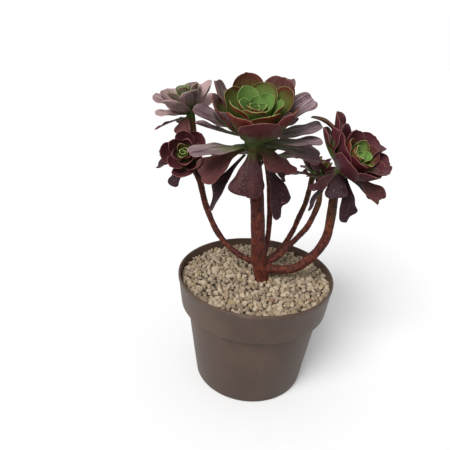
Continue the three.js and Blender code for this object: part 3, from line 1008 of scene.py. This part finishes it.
LIMBS = {
    "trunk": Limb(
        line=(
            (*STEM_PLACE, 70), (*STEM_PLACE, 112), (8, 0, 137), (4, 0, 160), (0, 1, 189),
            (-3, 2, 220), (-6, 2, 247), (-9, 1, 270), (-11, 0, 286),
        ),
        radii=(4.5, 7.2, 9.2, 9.6, 8.8, 8.4, 8.2, 7.8, 7.2),
    ),
    "right": Limb(
        line=(
            (4, 0, 153), (18, -3, 151.5), (34, -4, 151.5), (50, -4, 156), (63, -4, 168),
            (74, -5, 184), (80, -5, 202), (81, -6, 225), (80, -8, 249), (81, -12, 266),
        ),
        radii=(5.4, 5.6, 5.4, 5.5, 5.6, 5.7, 5.6, 5.5, 5.5, 5),
    ),
    "left": Limb(
        line=(
            (4, 1, 152), (-9, 3, 159), (-21, 7, 163), (-38, 14, 174), (-52, 20, 191),
            (-63, 26, 213), (-70, 30, 234), (-75, 34, 258), (-79, 36, 284), (-83, 37, 306),
        ),
        radii=(3.6, 3.8, 3.8, 3.8, 3.9, 4, 4.1, 4.2, 4.2, 4),
    ),
    "low_left": Limb(
        line=((-71, 30.5, 238), (-74, 27, 249), (-78, 23, 260), (-82, 20, 270)),
        radii=(3.4, 3.5, 3.5, 3.4),
    ),
    "back": Limb(
        line=(
            (4, 1, 152), (10, 8, 166), (13, 18, 180), (15, 32, 195), (15, 44, 211),
            (14, 54, 230), (11, 62, 252),
        ),
        radii=(3.4, 3.6, 3.7, 3.7, 3.8, 3.8, 3.6),
    ),
    "far_back": Limb(
        line=(
            (4, 1, 152), (15, 11, 157), (28, 28, 158), (41, 44, 167), (51, 57, 180),
            (58, 68, 193), (66, 76, 212), (70, 82, 232),
        ),
        radii=(3.6, 3.8, 3.7, 3.7, 3.7, 3.8, 3.8, 3.6),
    ),
    "far_right": Limb(
        line=(
            (4, 0, 151), (17, 5, 158), (30, 11, 164), (40, 18, 173), (52, 27, 182),
            (63, 35, 192), (71, 42, 206), (76, 46, 222), (77, 49, 236),
        ),
        radii=(3.6, 3.8, 3.8, 3.8, 3.8, 3.9, 3.9, 3.9, 3.7),
    ),
}
HEADS = (
    Head(
        name="trunk", seed=100, neck=22, waist=11, depth=24, lean=25, facing=-93,
        crown=Crown(24, -88, (5, 25), (25, 70), (77, 90), (67, 14), (46, 15), (0.05, 0.3)),
        listed=(
            (4, 10, 26, 42, 68, 33, 0.15, 36), (-162, 9, 16, 26, 68, 29, 0.15, -32),
            (35, 4, 38, 80, 76, 36), (158, 5, 30, 74, 74, 36),
            (-172, 3, 10, 18, 62, 22, 0.2, 6), (-30, 4, 26, 44, 50, 21, 0.2, -40),
            (2, 2, 9, 20, 70, 25, 0.15, 26), (-8, -1, 2, 6, 68, 24, 0.15, 18),
            (6, -6, 0, -20, 75, 30, 0.15, 34), (-148, -6, -2, 0, 75, 28, 0.15, -16),
            (92, 4, 20, 24, 56, 32), (134, 2, 12, 6, 58, 32),
            (56, 0, 8, 0, 58, 32), (-146, 1, 20, 52, 58, 34, 0.1),
            (-40, -5, -16, -48, 46, 40, 0.15, 8), (-98, -8, -48, -84, 54, 38, 0.2, -12),
            (-156, -8, -12, -48, 64, 36, 0.15, -26), (-166, -12, -46, -66, 70, 21, 0.3, -24),
            (-26, -12, -46, -78, 74, 26, 0.3, 40), (164, -5, -10, -40, 52, 28),
        ),
    ),
    Head(
        name="right", seed=300, neck=20, waist=7.5, depth=16, lean=44, facing=-50, dried=3, wine=0.6,
        crown=Crown(20, -126, (1, 15), (19, 68), (76, 92), (50, 12), (37, 12), (0.08, 0.3)),
        listed=(
            (6, 3, 14, 48, 46, 32, 0.15), (-40, 0, 4, 14, 50, 30, 0.2, 12),
            (150, 5, 66, 92, 56, 30), (152, 14, 88, -6, 60, 13, 0.35),
            (58, 4, 20, 30, 46, 28), (166, 2, 44, 80, 48, 28),
            (-40, -4, -12, -34, 50, 25, 0.2, 10), (-64, -6, -52, -84, 48, 23, 0.3),
            (-112, -2, -30, -62, 34, 22), (-152, -3, -18, -46, 36, 19, 0.25),
            (-30, -7, -18, -44, 42, 21, 0.25), (-158, 3, 56, 84, 46, 30),
            (-178, -7, -44, -68, 48, 18, 0.3), (34, -3, -8, -34, 46, 26),
            (98, -4, -16, -46, 40, 24),
        ),
    ),
    Head(
        name="left", seed=500, neck=20, waist=5, depth=20, lean=16, facing=-160, pale=1.0,
        crown=Crown(12, -120, (2, 18), (22, 74), (56, 88), (42, 11), (30, 11), (0.1, 0.3)),
        listed=(
            (-178, 2, 18, 26, 44, 22, 0.15, -24), (92, 4, 30, 40, 44, 30, 0.1),
            (136, 3, 24, 36, 42, 26, 0.15), (40, 3, 20, 24, 42, 28, 0.15),
            (-146, 0, 4, 2, 42, 20, 0.2, -14), (-10, 1, 4, -4, 38, 24),
            (-114, -1, -26, -66, 32, 22), (168, -4, -12, -34, 42, 18),
            (106, -4, -10, -36, 38, 24),
        ),
    ),
    Head(
        name="low_left", seed=600, neck=12, waist=5, depth=16, lean=62, facing=-100, wine=1.0,
        crown=Crown(18, -100, (2, 15), (16, 70), (72, 92), (37, 8), (28, 9), (0.12, 0.3)),
        listed=(
            (-175, -2, -6, -30, 36, 22, 0.25), (-140, -5, -36, -70, 34, 22, 0.3),
            (160, 0, 5, -15, 34, 20), (-30, -4, -24, -60, 30, 20, 0.25),
            (20, -2, -8, -30, 28, 18),
        ),
    ),
    Head(
        name="back", seed=700, neck=20, waist=5, depth=22, lean=14, facing=84, wine=0.5,
        crown=Crown(10, 84, (3, 20), (20, 72), (70, 94), (42, 10), (30, 10), (0.2, 0.3)),
        listed=(
            (6, 1, 6, -2, 44, 22), (172, 1, 8, 0, 46, 22),
            (116, 1, 0, -16, 42, 26), (54, 0, -2, -20, 42, 26),
            (-40, -2, -20, -50, 34, 20), (-138, -2, -24, -56, 34, 20),
        ),
    ),
    Head(
        name="far_back", seed=800, neck=16, waist=4.4, depth=17, lean=16, facing=60, wine=0.9,
        crown=Crown(8, 60, (2, 15), (20, 72), (66, 94), (30, 8), (22, 8), (0.2, 0.3)),
        listed=(
            (98, 0, 6, -4, 36, 21), (22, 0, 4, -10, 34, 21),
            (152, -1, 0, -18, 28, 18), (-62, -2, -10, -30, 24, 18),
        ),
    ),
    Head(
        name="far_right", seed=900, neck=16, waist=4.4, depth=15, lean=8, facing=40, wine=0.9,
        crown=Crown(8, 20, (2, 13), (18, 72), (60, 92), (25, 8), (19, 7), (0.2, 0.3)),
        listed=(
            (-160, 1, 14, 20, 27, 22), (40, 0, 6, -6, 30, 18),
            (116, -1, 0, -16, 26, 18), (-40, -2, -10, -36, 28, 17),
        ),
    ),
)


@dataclass
class LeafHead:
    """One head's piece: its neck and all its leaves."""

    head: Head
    limb: Limb
    skin: Material
    bark: Material
    shape: LeafShape = LeafShape()
    neck_rings: int = 40
    neck_sides: int = 30
    neck_youth: tuple[float, float] = (0.9, 2.9)

    def leaves(self) -> list[tuple[Leaf, bool]]:
        """Lists all leaves of the head.

        Returns:
            The leaves, each with whether it leans with the crown.
        """
        head = self.head
        found = [(leaf, True) for leaf in head.crown.leaves(head.waist)]
        for i, (azimuth, root, *form) in enumerate(head.listed):
            leaf = Leaf(azimuth, root, 0.5 * head.waist, *form)
            stage = Stage.OPEN if leaf.slope() > HANGING_SLOPE else Stage.HANGING
            stage = Stage.DRIED if i == head.dried else stage
            found.append((replace(leaf, stage=stage), False))
        return [(replace(leaf, seed=head.seed + i), leans) for i, (leaf, leans) in enumerate(found)]

    def age(self, leaf: Leaf) -> dict[str, float]:
        """Finds how a leaf's age shows in its skin.

        Args:
            leaf: The leaf.

        Returns:
            How green, bloomed, dark and dry it is, from 0 for not at all. What isn't given is 0.
        """
        mood = draw(leaf.seed) - 0.5
        wine, pale = self.head.wine, self.head.pale
        if leaf.stage is Stage.CROWN:
            ripe = ease(0.4 * wine, 0.72 + 0.24 * wine, leaf.youth)
            oldest = 0.08 * ease(0.17, 0.03, leaf.youth) * (1.0 - wine)
            green = blend(0.22 - 0.55 * wine, 1.0, ripe) + 0.05 * mood
            return {"green": green, "bloom": max(pale * (1.4 - ripe), oldest)}
        slope = leaf.slope()
        upright = ease(40.0, 58.0, slope)
        bloom = ease(-22.0, 0.0, slope) * (1.0 - 0.5 * upright)
        sunk = ease(-5.0, -12.0, leaf.root)
        stain = (0.2 * mood + 0.9 * wine) * (slope < -10)
        return {
            "green": 0.42 * upright * (1.0 - wine),
            "bloom": bloom * (0.95 + 0.3 * mood + 0.35 * pale) * (1.0 - wine) ** 2,
            "dusk": max(0.0, ease(-2.0, -60.0, slope) * blend(0.74, 1.0, sunk) + stain),
            "dry": float(leaf.stage is Stage.DRIED),
        }

    def build(self) -> None:
        """Builds the head, its leaves with their skin and its neck with bark."""
        head = self.head
        end, along = self.limb.end()
        base = end + along * (head.neck + FIT_GAP)
        hinge = math.radians(head.facing)
        axis = (-math.sin(hinge), math.cos(hinge), 0.0)
        tilt = np.array(Matrix.Rotation(math.radians(head.lean), 3, axis))
        mesh = Mesh()
        neck_faces = self.add_neck(mesh, base, along, tilt)
        for leaf, leans in self.leaves():
            points, faces, numbers = self.shape.blade(leaf)
            if leans:
                points = points @ tilt.T
            mesh.add(points + base, faces, **numbers, **self.age(leaf))
        piece = mesh.piece(f"leaves_{head.name}", Slot.LEAF, self.skin, f"head_{head.name}")
        piece.data.materials.append(self.bark)
        kinds = np.arange(len(piece.data.polygons)) < neck_faces
        piece.data.polygons.foreach_set("material_index", kinds.astype(np.int32))

    def add_neck(self, mesh: Mesh, base: np.ndarray, along: np.ndarray, tilt: np.ndarray) -> int:
        """Adds the neck, which bends from the limb's direction into the crown's.

        Args:
            mesh: The head's mesh.
            base: Where the crown begins.
            along: The limb's direction at its end.
            tilt: The crown's turn.

        Returns:
            The number of faces added.
        """
        head = self.head
        axis = tilt @ np.array([0.0, 0.0, 1.0])
        foot = self.limb.radii[-1]
        steps = (
            -along * head.neck, -along * 0.5 * head.neck, 0.0 * axis,
            axis * 0.5 * head.depth, axis * head.depth,
        )
        spine = Limb(
            line=tuple(tuple(base + step) for step in steps),
            radii=(foot, blend(foot, head.waist, 0.45), head.waist, 0.72 * head.waist, 0.4 * head.waist),
        )
        share = np.linspace(0.0, 1.0, self.neck_rings)
        centres = spine.point(share)
        rings = sweep(centres, spine.radius(share), self.neck_sides)
        points, faces = capped_tube(rings, centres[0], centres[-1])
        youth = np.repeat(blend(*self.neck_youth, share), self.neck_sides)
        run = np.repeat(share * (head.neck + head.depth), self.neck_sides)
        bark = around(np.tile(ring_angles(self.neck_sides), self.neck_rings), head.waist, run)
        bark = np.concatenate([bark, np.zeros((2, 3))])
        mesh.add(points, faces, youth=with_ends(youth, *self.neck_youth), bark=bark)
        return len(faces)


@dataclass
class WoodyStem:
    """The trunk and its limbs, grown together where they fork, with leaf scars all the way up."""

    bark: Material
    sides: int = 28
    step: float = 1.6
    voxel: float = 0.85
    smoothing: int = 10
    socket: float = 5.0
    samples: int = 160
    limb_shift: float = 53.0
    green_from: float = 0.3
    trunk_youth: float = 0.9
    limb_youth: float = 0.95
    scar_pitch: float = 2.5
    scar_sway: float = 1.5
    scar_width: float = 3.2
    scar_height: float = 1.1
    scar_depth: float = 0.35
    ridges: float = 0.16
    swelling: float = 0.18

    def tubes(self) -> Mesh:
        """Sweeps the limbs as separate tubes.

        Returns:
            The tubes, each run a little way up into its head's neck.
        """
        mesh = Mesh()
        for limb in LIMBS.values():
            share = np.linspace(0.0, 1.0, int(limb.length() / self.step))
            end, ahead = limb.end()
            centres = np.concatenate([limb.point(share), [end + ahead * self.socket]])
            radii = np.concatenate([limb.radius(share), [0.9 * limb.radii[-1]]])
            mesh.add(*capped_tube(sweep(centres, radii, self.sides), centres[0], centres[-1]))
        return mesh

    def grown(self) -> tuple[np.ndarray, np.ndarray]:
        """Grows the tubes together into one skin, smoothed at the forks.

        Returns:
            Its points in millimetres, and its faces of four corners.
        """
        draft = add_object("stem_tubes", self.tubes().data("stem_tubes"))
        skin = draft.modifiers.new("skin", "REMESH")
        skin.mode = "VOXEL"
        skin.voxel_size = self.voxel * MM
        made = draft.evaluated_get(bpy.context.evaluated_depsgraph_get()).to_mesh()
        points = np.zeros(len(made.vertices) * 3, np.float32)
        made.vertices.foreach_get("co", points)
        corners = np.zeros(len(made.loops), np.int32)
        made.loops.foreach_get("vertex_index", corners)
        points = points.reshape(-1, 3).astype(float) / MM
        bpy.data.objects.remove(draft)
        faces = corners.reshape(-1, 4)
        pairs = np.concatenate([faces[:, [k, (k + 1) % 4]] for k in range(4)])
        count = np.bincount(pairs[:, 0], minlength=len(points))[:, None]
        for _ in range(self.smoothing):
            near = np.stack([
                np.bincount(pairs[:, 0], weights=points[pairs[:, 1], axis], minlength=len(points))
                for axis in range(3)
            ], axis=1)
            points = 0.5 * points + 0.5 * near / count
        return points, faces

    def traced(self, points: np.ndarray) -> tuple[np.ndarray, ...]:
        """Finds where on the limbs each point of the skin lies.

        Args:
            points: The skin's points.

        Returns:
            For each point: the way out of its limb, how far up the limb it is, its angle round it,
            the limb's radius there, and how young the bark is.
        """
        share = np.linspace(0.0, 1.0, self.samples)
        clear, found = [], []
        for number, (name, limb) in enumerate(LIMBS.items()):
            centres = limb.point(share)
            gaps = np.linalg.norm(points[:, None, :] - centres[None], axis=2)
            spot = gaps.argmin(axis=1)
            girth = limb.radius(share)[spot]
            clear.append(gaps.min(axis=1) - girth)
            ahead = limb.tangent(share)[spot]
            away = points - centres[spot]
            away -= ahead * (away * ahead).sum(axis=1, keepdims=True)
            away /= np.linalg.norm(away, axis=1, keepdims=True) + 1e-9
            across, up = square_to(ahead)
            turn = np.arctan2((away * up).sum(axis=1), (away * across).sum(axis=1))
            run = share[spot] * limb.length() + self.limb_shift * number
            high = np.clip((share[spot] - self.green_from) / (1.0 - self.green_from), 0.0, 1.0)
            youth = high * (self.trunk_youth if name == "trunk" else self.limb_youth)
            found.append(np.column_stack([away, run, turn, girth, youth]))
        nearest = np.stack(found)[np.argmin(clear, axis=0), np.arange(len(points))]
        return nearest[:, :3], *nearest[:, 3:].T

    def build(self) -> None:
        """Builds the stem, ridged and scarred."""
        points, faces = self.grown()
        away, run, turn, girth, youth = self.traced(points)
        scar = self.scars(run, turn, girth)
        grain = np.sin(7.0 * turn + 0.11 * run) + 0.7 * np.sin(11.0 * turn - 0.17 * run + 2.0)
        swell = np.sin(0.21 * run + 1.3 * np.sin(turn)) * self.swelling
        points = points + away * (self.ridges * grain * 0.4 + swell - self.scar_depth * scar)[:, None]
        mesh = Mesh()
        mesh.add(points, faces, youth=youth, scar=scar, bark=around(turn, girth, run))
        mesh.piece("woody_stem_bark", Slot.BARK, self.bark, "woody_stem")

    def scars(self, run: np.ndarray, turn: np.ndarray, girth: np.ndarray) -> np.ndarray:
        """Finds how deep in a leaf scar each point lies.

        Args:
            run: How far up its limb each point is.
            turn: Its angle round the limb.
            girth: The limb's radius there.

        Returns:
            A mask from 0 to 1.
        """
        mask = np.zeros(len(run))
        for i in range(int(run.max() / self.scar_pitch)):
            height = i * self.scar_pitch + self.scar_sway * draw(i + 0.5)
            angle = math.radians(GOLDEN_ANGLE) * i
            side = (turn - angle + np.pi) % FULL_TURN - np.pi
            sideways = side * girth / self.scar_width
            upward = (run - height - 0.25 * sideways ** 2) / self.scar_height
            mask = np.maximum(mask, np.exp(-(sideways ** 2 + upward ** 2) ** 1.5))
        return mask


def arc(x: float, y: float, radius: float, start: float, end: float) -> list[tuple[float, float]]:
    """Six points of an arc in a half section, by its centre, radius and angles in degrees."""
    angles = np.radians(np.linspace(start, end, 6))
    return [(x + radius * math.cos(a), y + radius * math.sin(a)) for a in angles]


@dataclass
class Pot:
    """The moulded pot: a tapered body, a wider band with a lip, and drain holes in the floor."""

    plastic: Material
    band_height: float = 40.0
    band_foot: float = 90.6
    shoulder: float = 83.0
    foot: float = 69.5
    wall: float = 1.8
    floor: float = 2.6
    lip_width: float = 2.4
    lip_height: float = 4.0
    foot_round: float = 2.0
    shoulder_round: float = 1.6
    band_round: float = 2.2
    lip_round: float = 0.9
    lip_ease: float = 0.5
    holes: int = 8
    hole_radius: float = 6.0
    hole_circle: float = 54.0
    hole_sides: int = 32
    sides: int = 192

    def section(self) -> np.ndarray:
        """Draws the half section, out along the foot, up, and down the inside.

        Returns:
            Rows of radius and height.
        """
        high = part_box("pot")[1]
        rim, top = high.x / MM, high.z / MM
        band = top - self.band_height
        lip = top - self.lip_height
        waist = blend(self.foot, self.shoulder, 0.5)
        toe, bend, fold = self.foot_round, self.shoulder_round, self.lip_ease
        return np.array([
            *arc(self.foot - toe, toe, toe, -90.0, 0.0),
            (waist, 0.5 * band),
            (self.shoulder - 0.3, band - 2.0 * bend),
            *arc(self.shoulder + 1.4, band - bend, bend, 180.0, 100.0),
            (self.band_foot - 2.6, band + 0.1),
            *arc(self.band_foot - self.band_round, band + 2.3, self.band_round, -90.0, -6.0),
            (blend(self.band_foot, rim - 0.6, 0.5), band + 18.0),
            (rim - 0.7, lip - 1.1),
            *arc(rim - fold, lip, fold, -60.0, 0.0),
            *arc(rim - self.lip_round, top - self.lip_round, self.lip_round, 0.0, 90.0),
            *arc(rim - self.lip_width + fold, top - fold, fold, 90.0, 180.0),
            (rim - self.lip_width, lip),
            (self.band_foot - self.wall, band + 3.0),
            (self.shoulder - self.wall, band - 1.0),
            (waist - self.wall, 0.5 * band),
            *reversed(arc(self.foot - self.wall - toe, self.floor + toe, toe, -90.0, 0.0)),
        ])

    def drill(self) -> Object:
        """Makes the rods that the drain holes are cut with.

        Returns:
            The rods, as one object.
        """
        rods = Mesh()
        for foot in around(ring_angles(self.holes), self.hole_circle, -self.floor):
            line = np.array([foot, foot + [0.0, 0.0, 3.0 * self.floor]])
            rods.add(*capped_tube(sweep(line, np.full(2, self.hole_radius), self.hole_sides), *line))
        return add_object("drill", rods.data("drill"))

    def build(self) -> None:
        """Builds the pot and cuts its drain holes."""
        section = self.section()
        rings = around(ring_angles(self.sides), section[:, :1], section[:, 1:])
        mesh = Mesh()
        mesh.add(*capped_tube(rings, np.zeros(3), np.array([0.0, 0.0, self.floor])))
        pot = mesh.piece("pot_moulding", Slot.POT, self.plastic, "pot")
        drill = self.drill()
        cut = pot.modifiers.new("drain_holes", "BOOLEAN")
        cut.operation = "DIFFERENCE"
        cut.solver = "EXACT"
        cut.object = drill
        made = bpy.data.meshes.new_from_object(pot.evaluated_get(bpy.context.evaluated_depsgraph_get()))
        pot.modifiers.clear()
        pot.data = made
        bpy.data.objects.remove(drill)


def ball() -> tuple[np.ndarray, np.ndarray]:
    """Makes a ball from an icosahedron with each of its triangles split in four.

    Returns:
        Its points, on a radius of 1, and its faces.
    """
    golden = (1.0 + math.sqrt(5.0)) / 2.0
    corners = [(-1, golden, 0), (1, golden, 0), (-1, -golden, 0), (1, -golden, 0)]
    turns = ((0, 1, 2), (2, 0, 1), (1, 2, 0))
    points = [np.array([corner[k] for k in turn]) for turn in turns for corner in corners]
    points = [point / math.hypot(*point) for point in points]
    faces = [
        (0, 11, 5), (0, 5, 1), (0, 1, 7), (0, 7, 10), (0, 10, 11), (1, 5, 9), (5, 11, 4), (11, 10, 2),
        (10, 7, 6), (7, 1, 8), (3, 9, 4), (3, 4, 2), (3, 2, 6), (3, 6, 8), (3, 8, 9), (4, 9, 5),
        (2, 4, 11), (6, 2, 10), (8, 6, 7), (9, 8, 1),
    ]
    middles: dict[tuple[int, int], int] = {}
    split = []
    for a, b, c in faces:
        edges = [(min(edge), max(edge)) for edge in ((a, b), (b, c), (c, a))]
        for low, high in edges:
            if (low, high) not in middles:
                middles[low, high] = len(points)
                middle = points[low] + points[high]
                points.append(middle / np.linalg.norm(middle))
        ab, bc, ca = (middles[edge] for edge in edges)
        split += [(a, ab, ca), (b, bc, ab), (c, ca, bc), (ab, bc, ca)]
    return np.array(points), np.array([(*face, face[2]) for face in split])


@dataclass
class Gravel:
    """The pumice dressing: a bed, and the loose grains that cover it.

    A layer of grains is how far it lies below the top, and its largest and smallest radius.
    """

    pumice: Material
    top: float = 137.0
    bed_top: float = 131.5
    bed_foot: float = 112.3
    bed_sides: int = 128
    bed_steps: int = 24
    lumps: float = 0.8
    wall_low: float = 88.9
    wall_high: float = 91.6
    hole: float = 9.9
    layers: tuple[tuple[float, float, float], ...] = ((0.0, 3.5, 1.5), (3.2, 3.0, 1.8))
    seed: int = 7
    sizes: int = 9
    tries: int = 2888
    quota: int = 260
    closeness: float = 0.92
    stem_clear: float = 8.6
    cuts: int = 9
    chips: float = 0.08
    swell: float = 1.12

    def build(self) -> None:
        """Builds the bed and the grains."""
        self.bed()
        self.grains()

    def bed(self) -> None:
        """Builds the bed, a ring round the stem's foot with a lumpy top."""
        turn = ring_angles(self.bed_sides)
        share = np.concatenate([np.linspace(1.0, 0.0, self.bed_steps), [0.0, 1.0]])[:, None]
        on_top = np.arange(len(share))[:, None] < self.bed_steps
        radius = blend(self.hole, np.where(on_top, self.wall_high, self.wall_low), share)
        x = blend(STEM_PLACE[0], 0.0, share) + radius * np.cos(turn)
        y = blend(STEM_PLACE[1], 0.0, share) + radius * np.sin(turn)
        lumps = self.lumps * np.sin(0.9 * x + 2.0 * np.sin(0.5 * y))
        lumps = lumps * np.sin(0.8 * y + 1.7 * np.sin(0.6 * x))
        z = np.where(on_top, self.bed_top + lumps, self.bed_foot)
        mesh = Mesh()
        faces = ring_faces(len(share), self.bed_sides, closed=True)
        # A depth of 1 paints the bed in the gap colour, as shade below the grains.
        mesh.add(np.stack([x, y, z], axis=-1).reshape(-1, 3), faces, lot=0.3, depth=1.0)
        mesh.piece("gravel_bed", Slot.PUMICE, self.pumice, "pumice_gravel")

    def layer(self, rng: np.random.Generator, largest: float, smallest: float) -> np.ndarray:
        """Packs one layer of grains.

        Args:
            rng: The generator that every draw comes from.
            largest: The largest grain's radius.
            smallest: The smallest grain's.

        Returns:
            Rows of x, y and radius.
        """
        kept = np.zeros((0, 3))
        for size in np.linspace(largest, smallest, self.sizes):
            spots = rng.uniform(-self.wall_high, self.wall_high, (self.tries, 2))
            sizes = size * rng.uniform(0.9, 1.1, len(spots))
            inside = np.hypot(*spots.T) < self.wall_high + 0.4 - sizes
            clear = np.hypot(spots[:, 0] - STEM_PLACE[0], spots[:, 1]) > self.stem_clear + 0.8 * sizes
            quota = self.quota
            for (x, y), radius in zip(spots[inside & clear], sizes[inside & clear]):
                gaps = np.hypot(kept[:, 0] - x, kept[:, 1] - y)
                if quota and np.all(gaps > self.closeness * (kept[:, 2] + radius)):
                    kept = np.vstack([kept, (x, y, radius)])
                    quota -= 1
        return kept

    def grains(self) -> None:
        """Builds the grains, each a chipped lump with its own shape and turn."""
        rng = np.random.default_rng(self.seed)
        lump, lump_faces = ball()
        mesh = Mesh()
        for drop, largest, smallest in self.layers:
            for x, y, radius in self.layer(rng, largest, smallest):
                flat = unit(rng.normal(size=(self.cuts, 3)))
                reach = np.maximum(lump @ flat.T, 1e-3)
                cut = (rng.uniform(0.5, 0.9, self.cuts) / reach).min(axis=1)
                chips = 1.0 + self.chips * rng.normal(size=(len(lump), 1))
                grain = lump * np.minimum(cut, 1.1)[:, None] * chips * rng.uniform(0.8, 1.35, 3)
                turned = grain @ np.array(Matrix.Rotation(rng.uniform(0, 6.28), 3, tuple(flat[0]))).T
                height = self.top - drop - 0.82 * radius + rng.uniform(-1.0, 0.7)
                points = turned * radius * self.swell + [x, y, height]
                # How deep a point lies below the top, which the finish paints as shade.
                depth = np.clip((self.top - 0.8 - points[:, 2]) / 4.0, 0.0, 1.0)
                mesh.add(points, lump_faces, lot=rng.uniform(), depth=depth)
        mesh.piece("gravel_grains", Slot.PUMICE, self.pumice, "pumice_gravel").data.shade_flat()


@dataclass
class PottingMix:
    """The mix that fills the pot below the gravel. Its own solid stays, and is given its finish."""

    crumb: Material
    node: str = "potting_mix"

    def dress(self) -> None:
        """Puts the mix's finish on its solid."""
        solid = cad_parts[self.node]
        solid.data.materials.clear()
        solid.data.materials.append(self.crumb)
        LOG.info("%s: its own solid, dressed", self.node)


@dataclass
class Studio:
    """The floor, the soft light and the camera, which stands where the photograph was taken."""

    pale: Material
    camera_place: tuple[float, float, float] = (-0.04057, -0.46819, 0.41337)
    pitch: float = 23.948
    roll: float = -2.925
    focal_pixels: float = 433.0
    frame_pixels: float = 450.0
    sensor: float = 36.0
    nearest: float = 0.01
    floor_radius: float = 8.0
    floor_sides: int = 96
    above: float = 0.5
    below: float = 0.12
    key: float = 3.0
    key_spread: float = 35.0
    key_place: tuple[float, float, float] = (-0.38, -0.6, 0.72)

    def add_camera(self) -> None:
        """Adds the camera."""
        data = bpy.data.cameras.new("camera")
        data.sensor_width = self.sensor
        data.lens = self.focal_pixels / self.frame_pixels * self.sensor
        data.clip_start = self.nearest
        camera = add_object("camera", data)
        nod = Matrix.Rotation(math.radians(90.0 - self.pitch), 4, "X")
        roll = Matrix.Rotation(math.radians(-self.roll), 4, "Z")
        camera.matrix_world = Matrix.Translation(self.camera_place) @ nod @ roll
        bpy.context.scene.camera = camera
        LOG.info("camera: lens %.2f mm", data.lens)

    def add_floor(self) -> None:
        """Adds the floor, a wide round sheet that throws no light up at the plant."""
        points = around(ring_angles(self.floor_sides), self.floor_radius, 0.0)
        mesh = bpy.data.meshes.new("studio_floor")
        mesh.from_pydata(points.tolist(), [], [list(range(self.floor_sides))])
        mesh.materials.append(self.pale)
        floor = add_object("studio_floor", mesh)
        floor.visible_diffuse = False

    def add_light(self) -> None:
        """Adds a sky that is brightest at the horizon, and one broad soft lamp from the upper left."""
        world = bpy.data.worlds.new("studio")
        world.use_nodes = True
        bpy.context.scene.world = world
        shader = Shader(world.node_tree)
        up = shader.height(shader.node("ShaderNodeTexCoord").outputs["Generated"])
        horizon = (grey(1.0), up.rises(-0.2, -0.04))
        sky = shader.layers(grey(self.below), horizon, (grey(self.above), up.rises(0.05, 0.4)))
        light = shader.node("ShaderNodeBackground", {}, {"Color": sky, "Strength": 1.0})
        shader.node("ShaderNodeOutputWorld", {}, {"Surface": light.outputs[0]})
        data = bpy.data.lights.new("key_light", "SUN")
        data.energy = self.key
        data.angle = math.radians(self.key_spread)
        lamp = add_object("key_light", data)
        lamp.rotation_euler = Vector(self.key_place).to_track_quat("Z", "Y").to_euler()


def main() -> None:
    """Builds every piece in order, from the pot up."""
    logging.basicConfig(level=logging.INFO, format="%(name)s %(message)s")
    bpy.context.scene.view_settings.view_transform = "Standard"
    studio = Studio(FloorFinish().material())
    studio.add_camera()
    studio.add_floor()
    studio.add_light()
    bark = BarkFinish().material()
    skin = LeafFinish().material()
    Pot(PotFinish().material()).build()
    PottingMix(MixFinish().material()).dress()
    Gravel(PumiceFinish().material()).build()
    WoodyStem(bark).build()
    for head in HEADS:
        LeafHead(head, LIMBS[head.name], skin, bark).build()


if __name__ == "__main__":
    main()
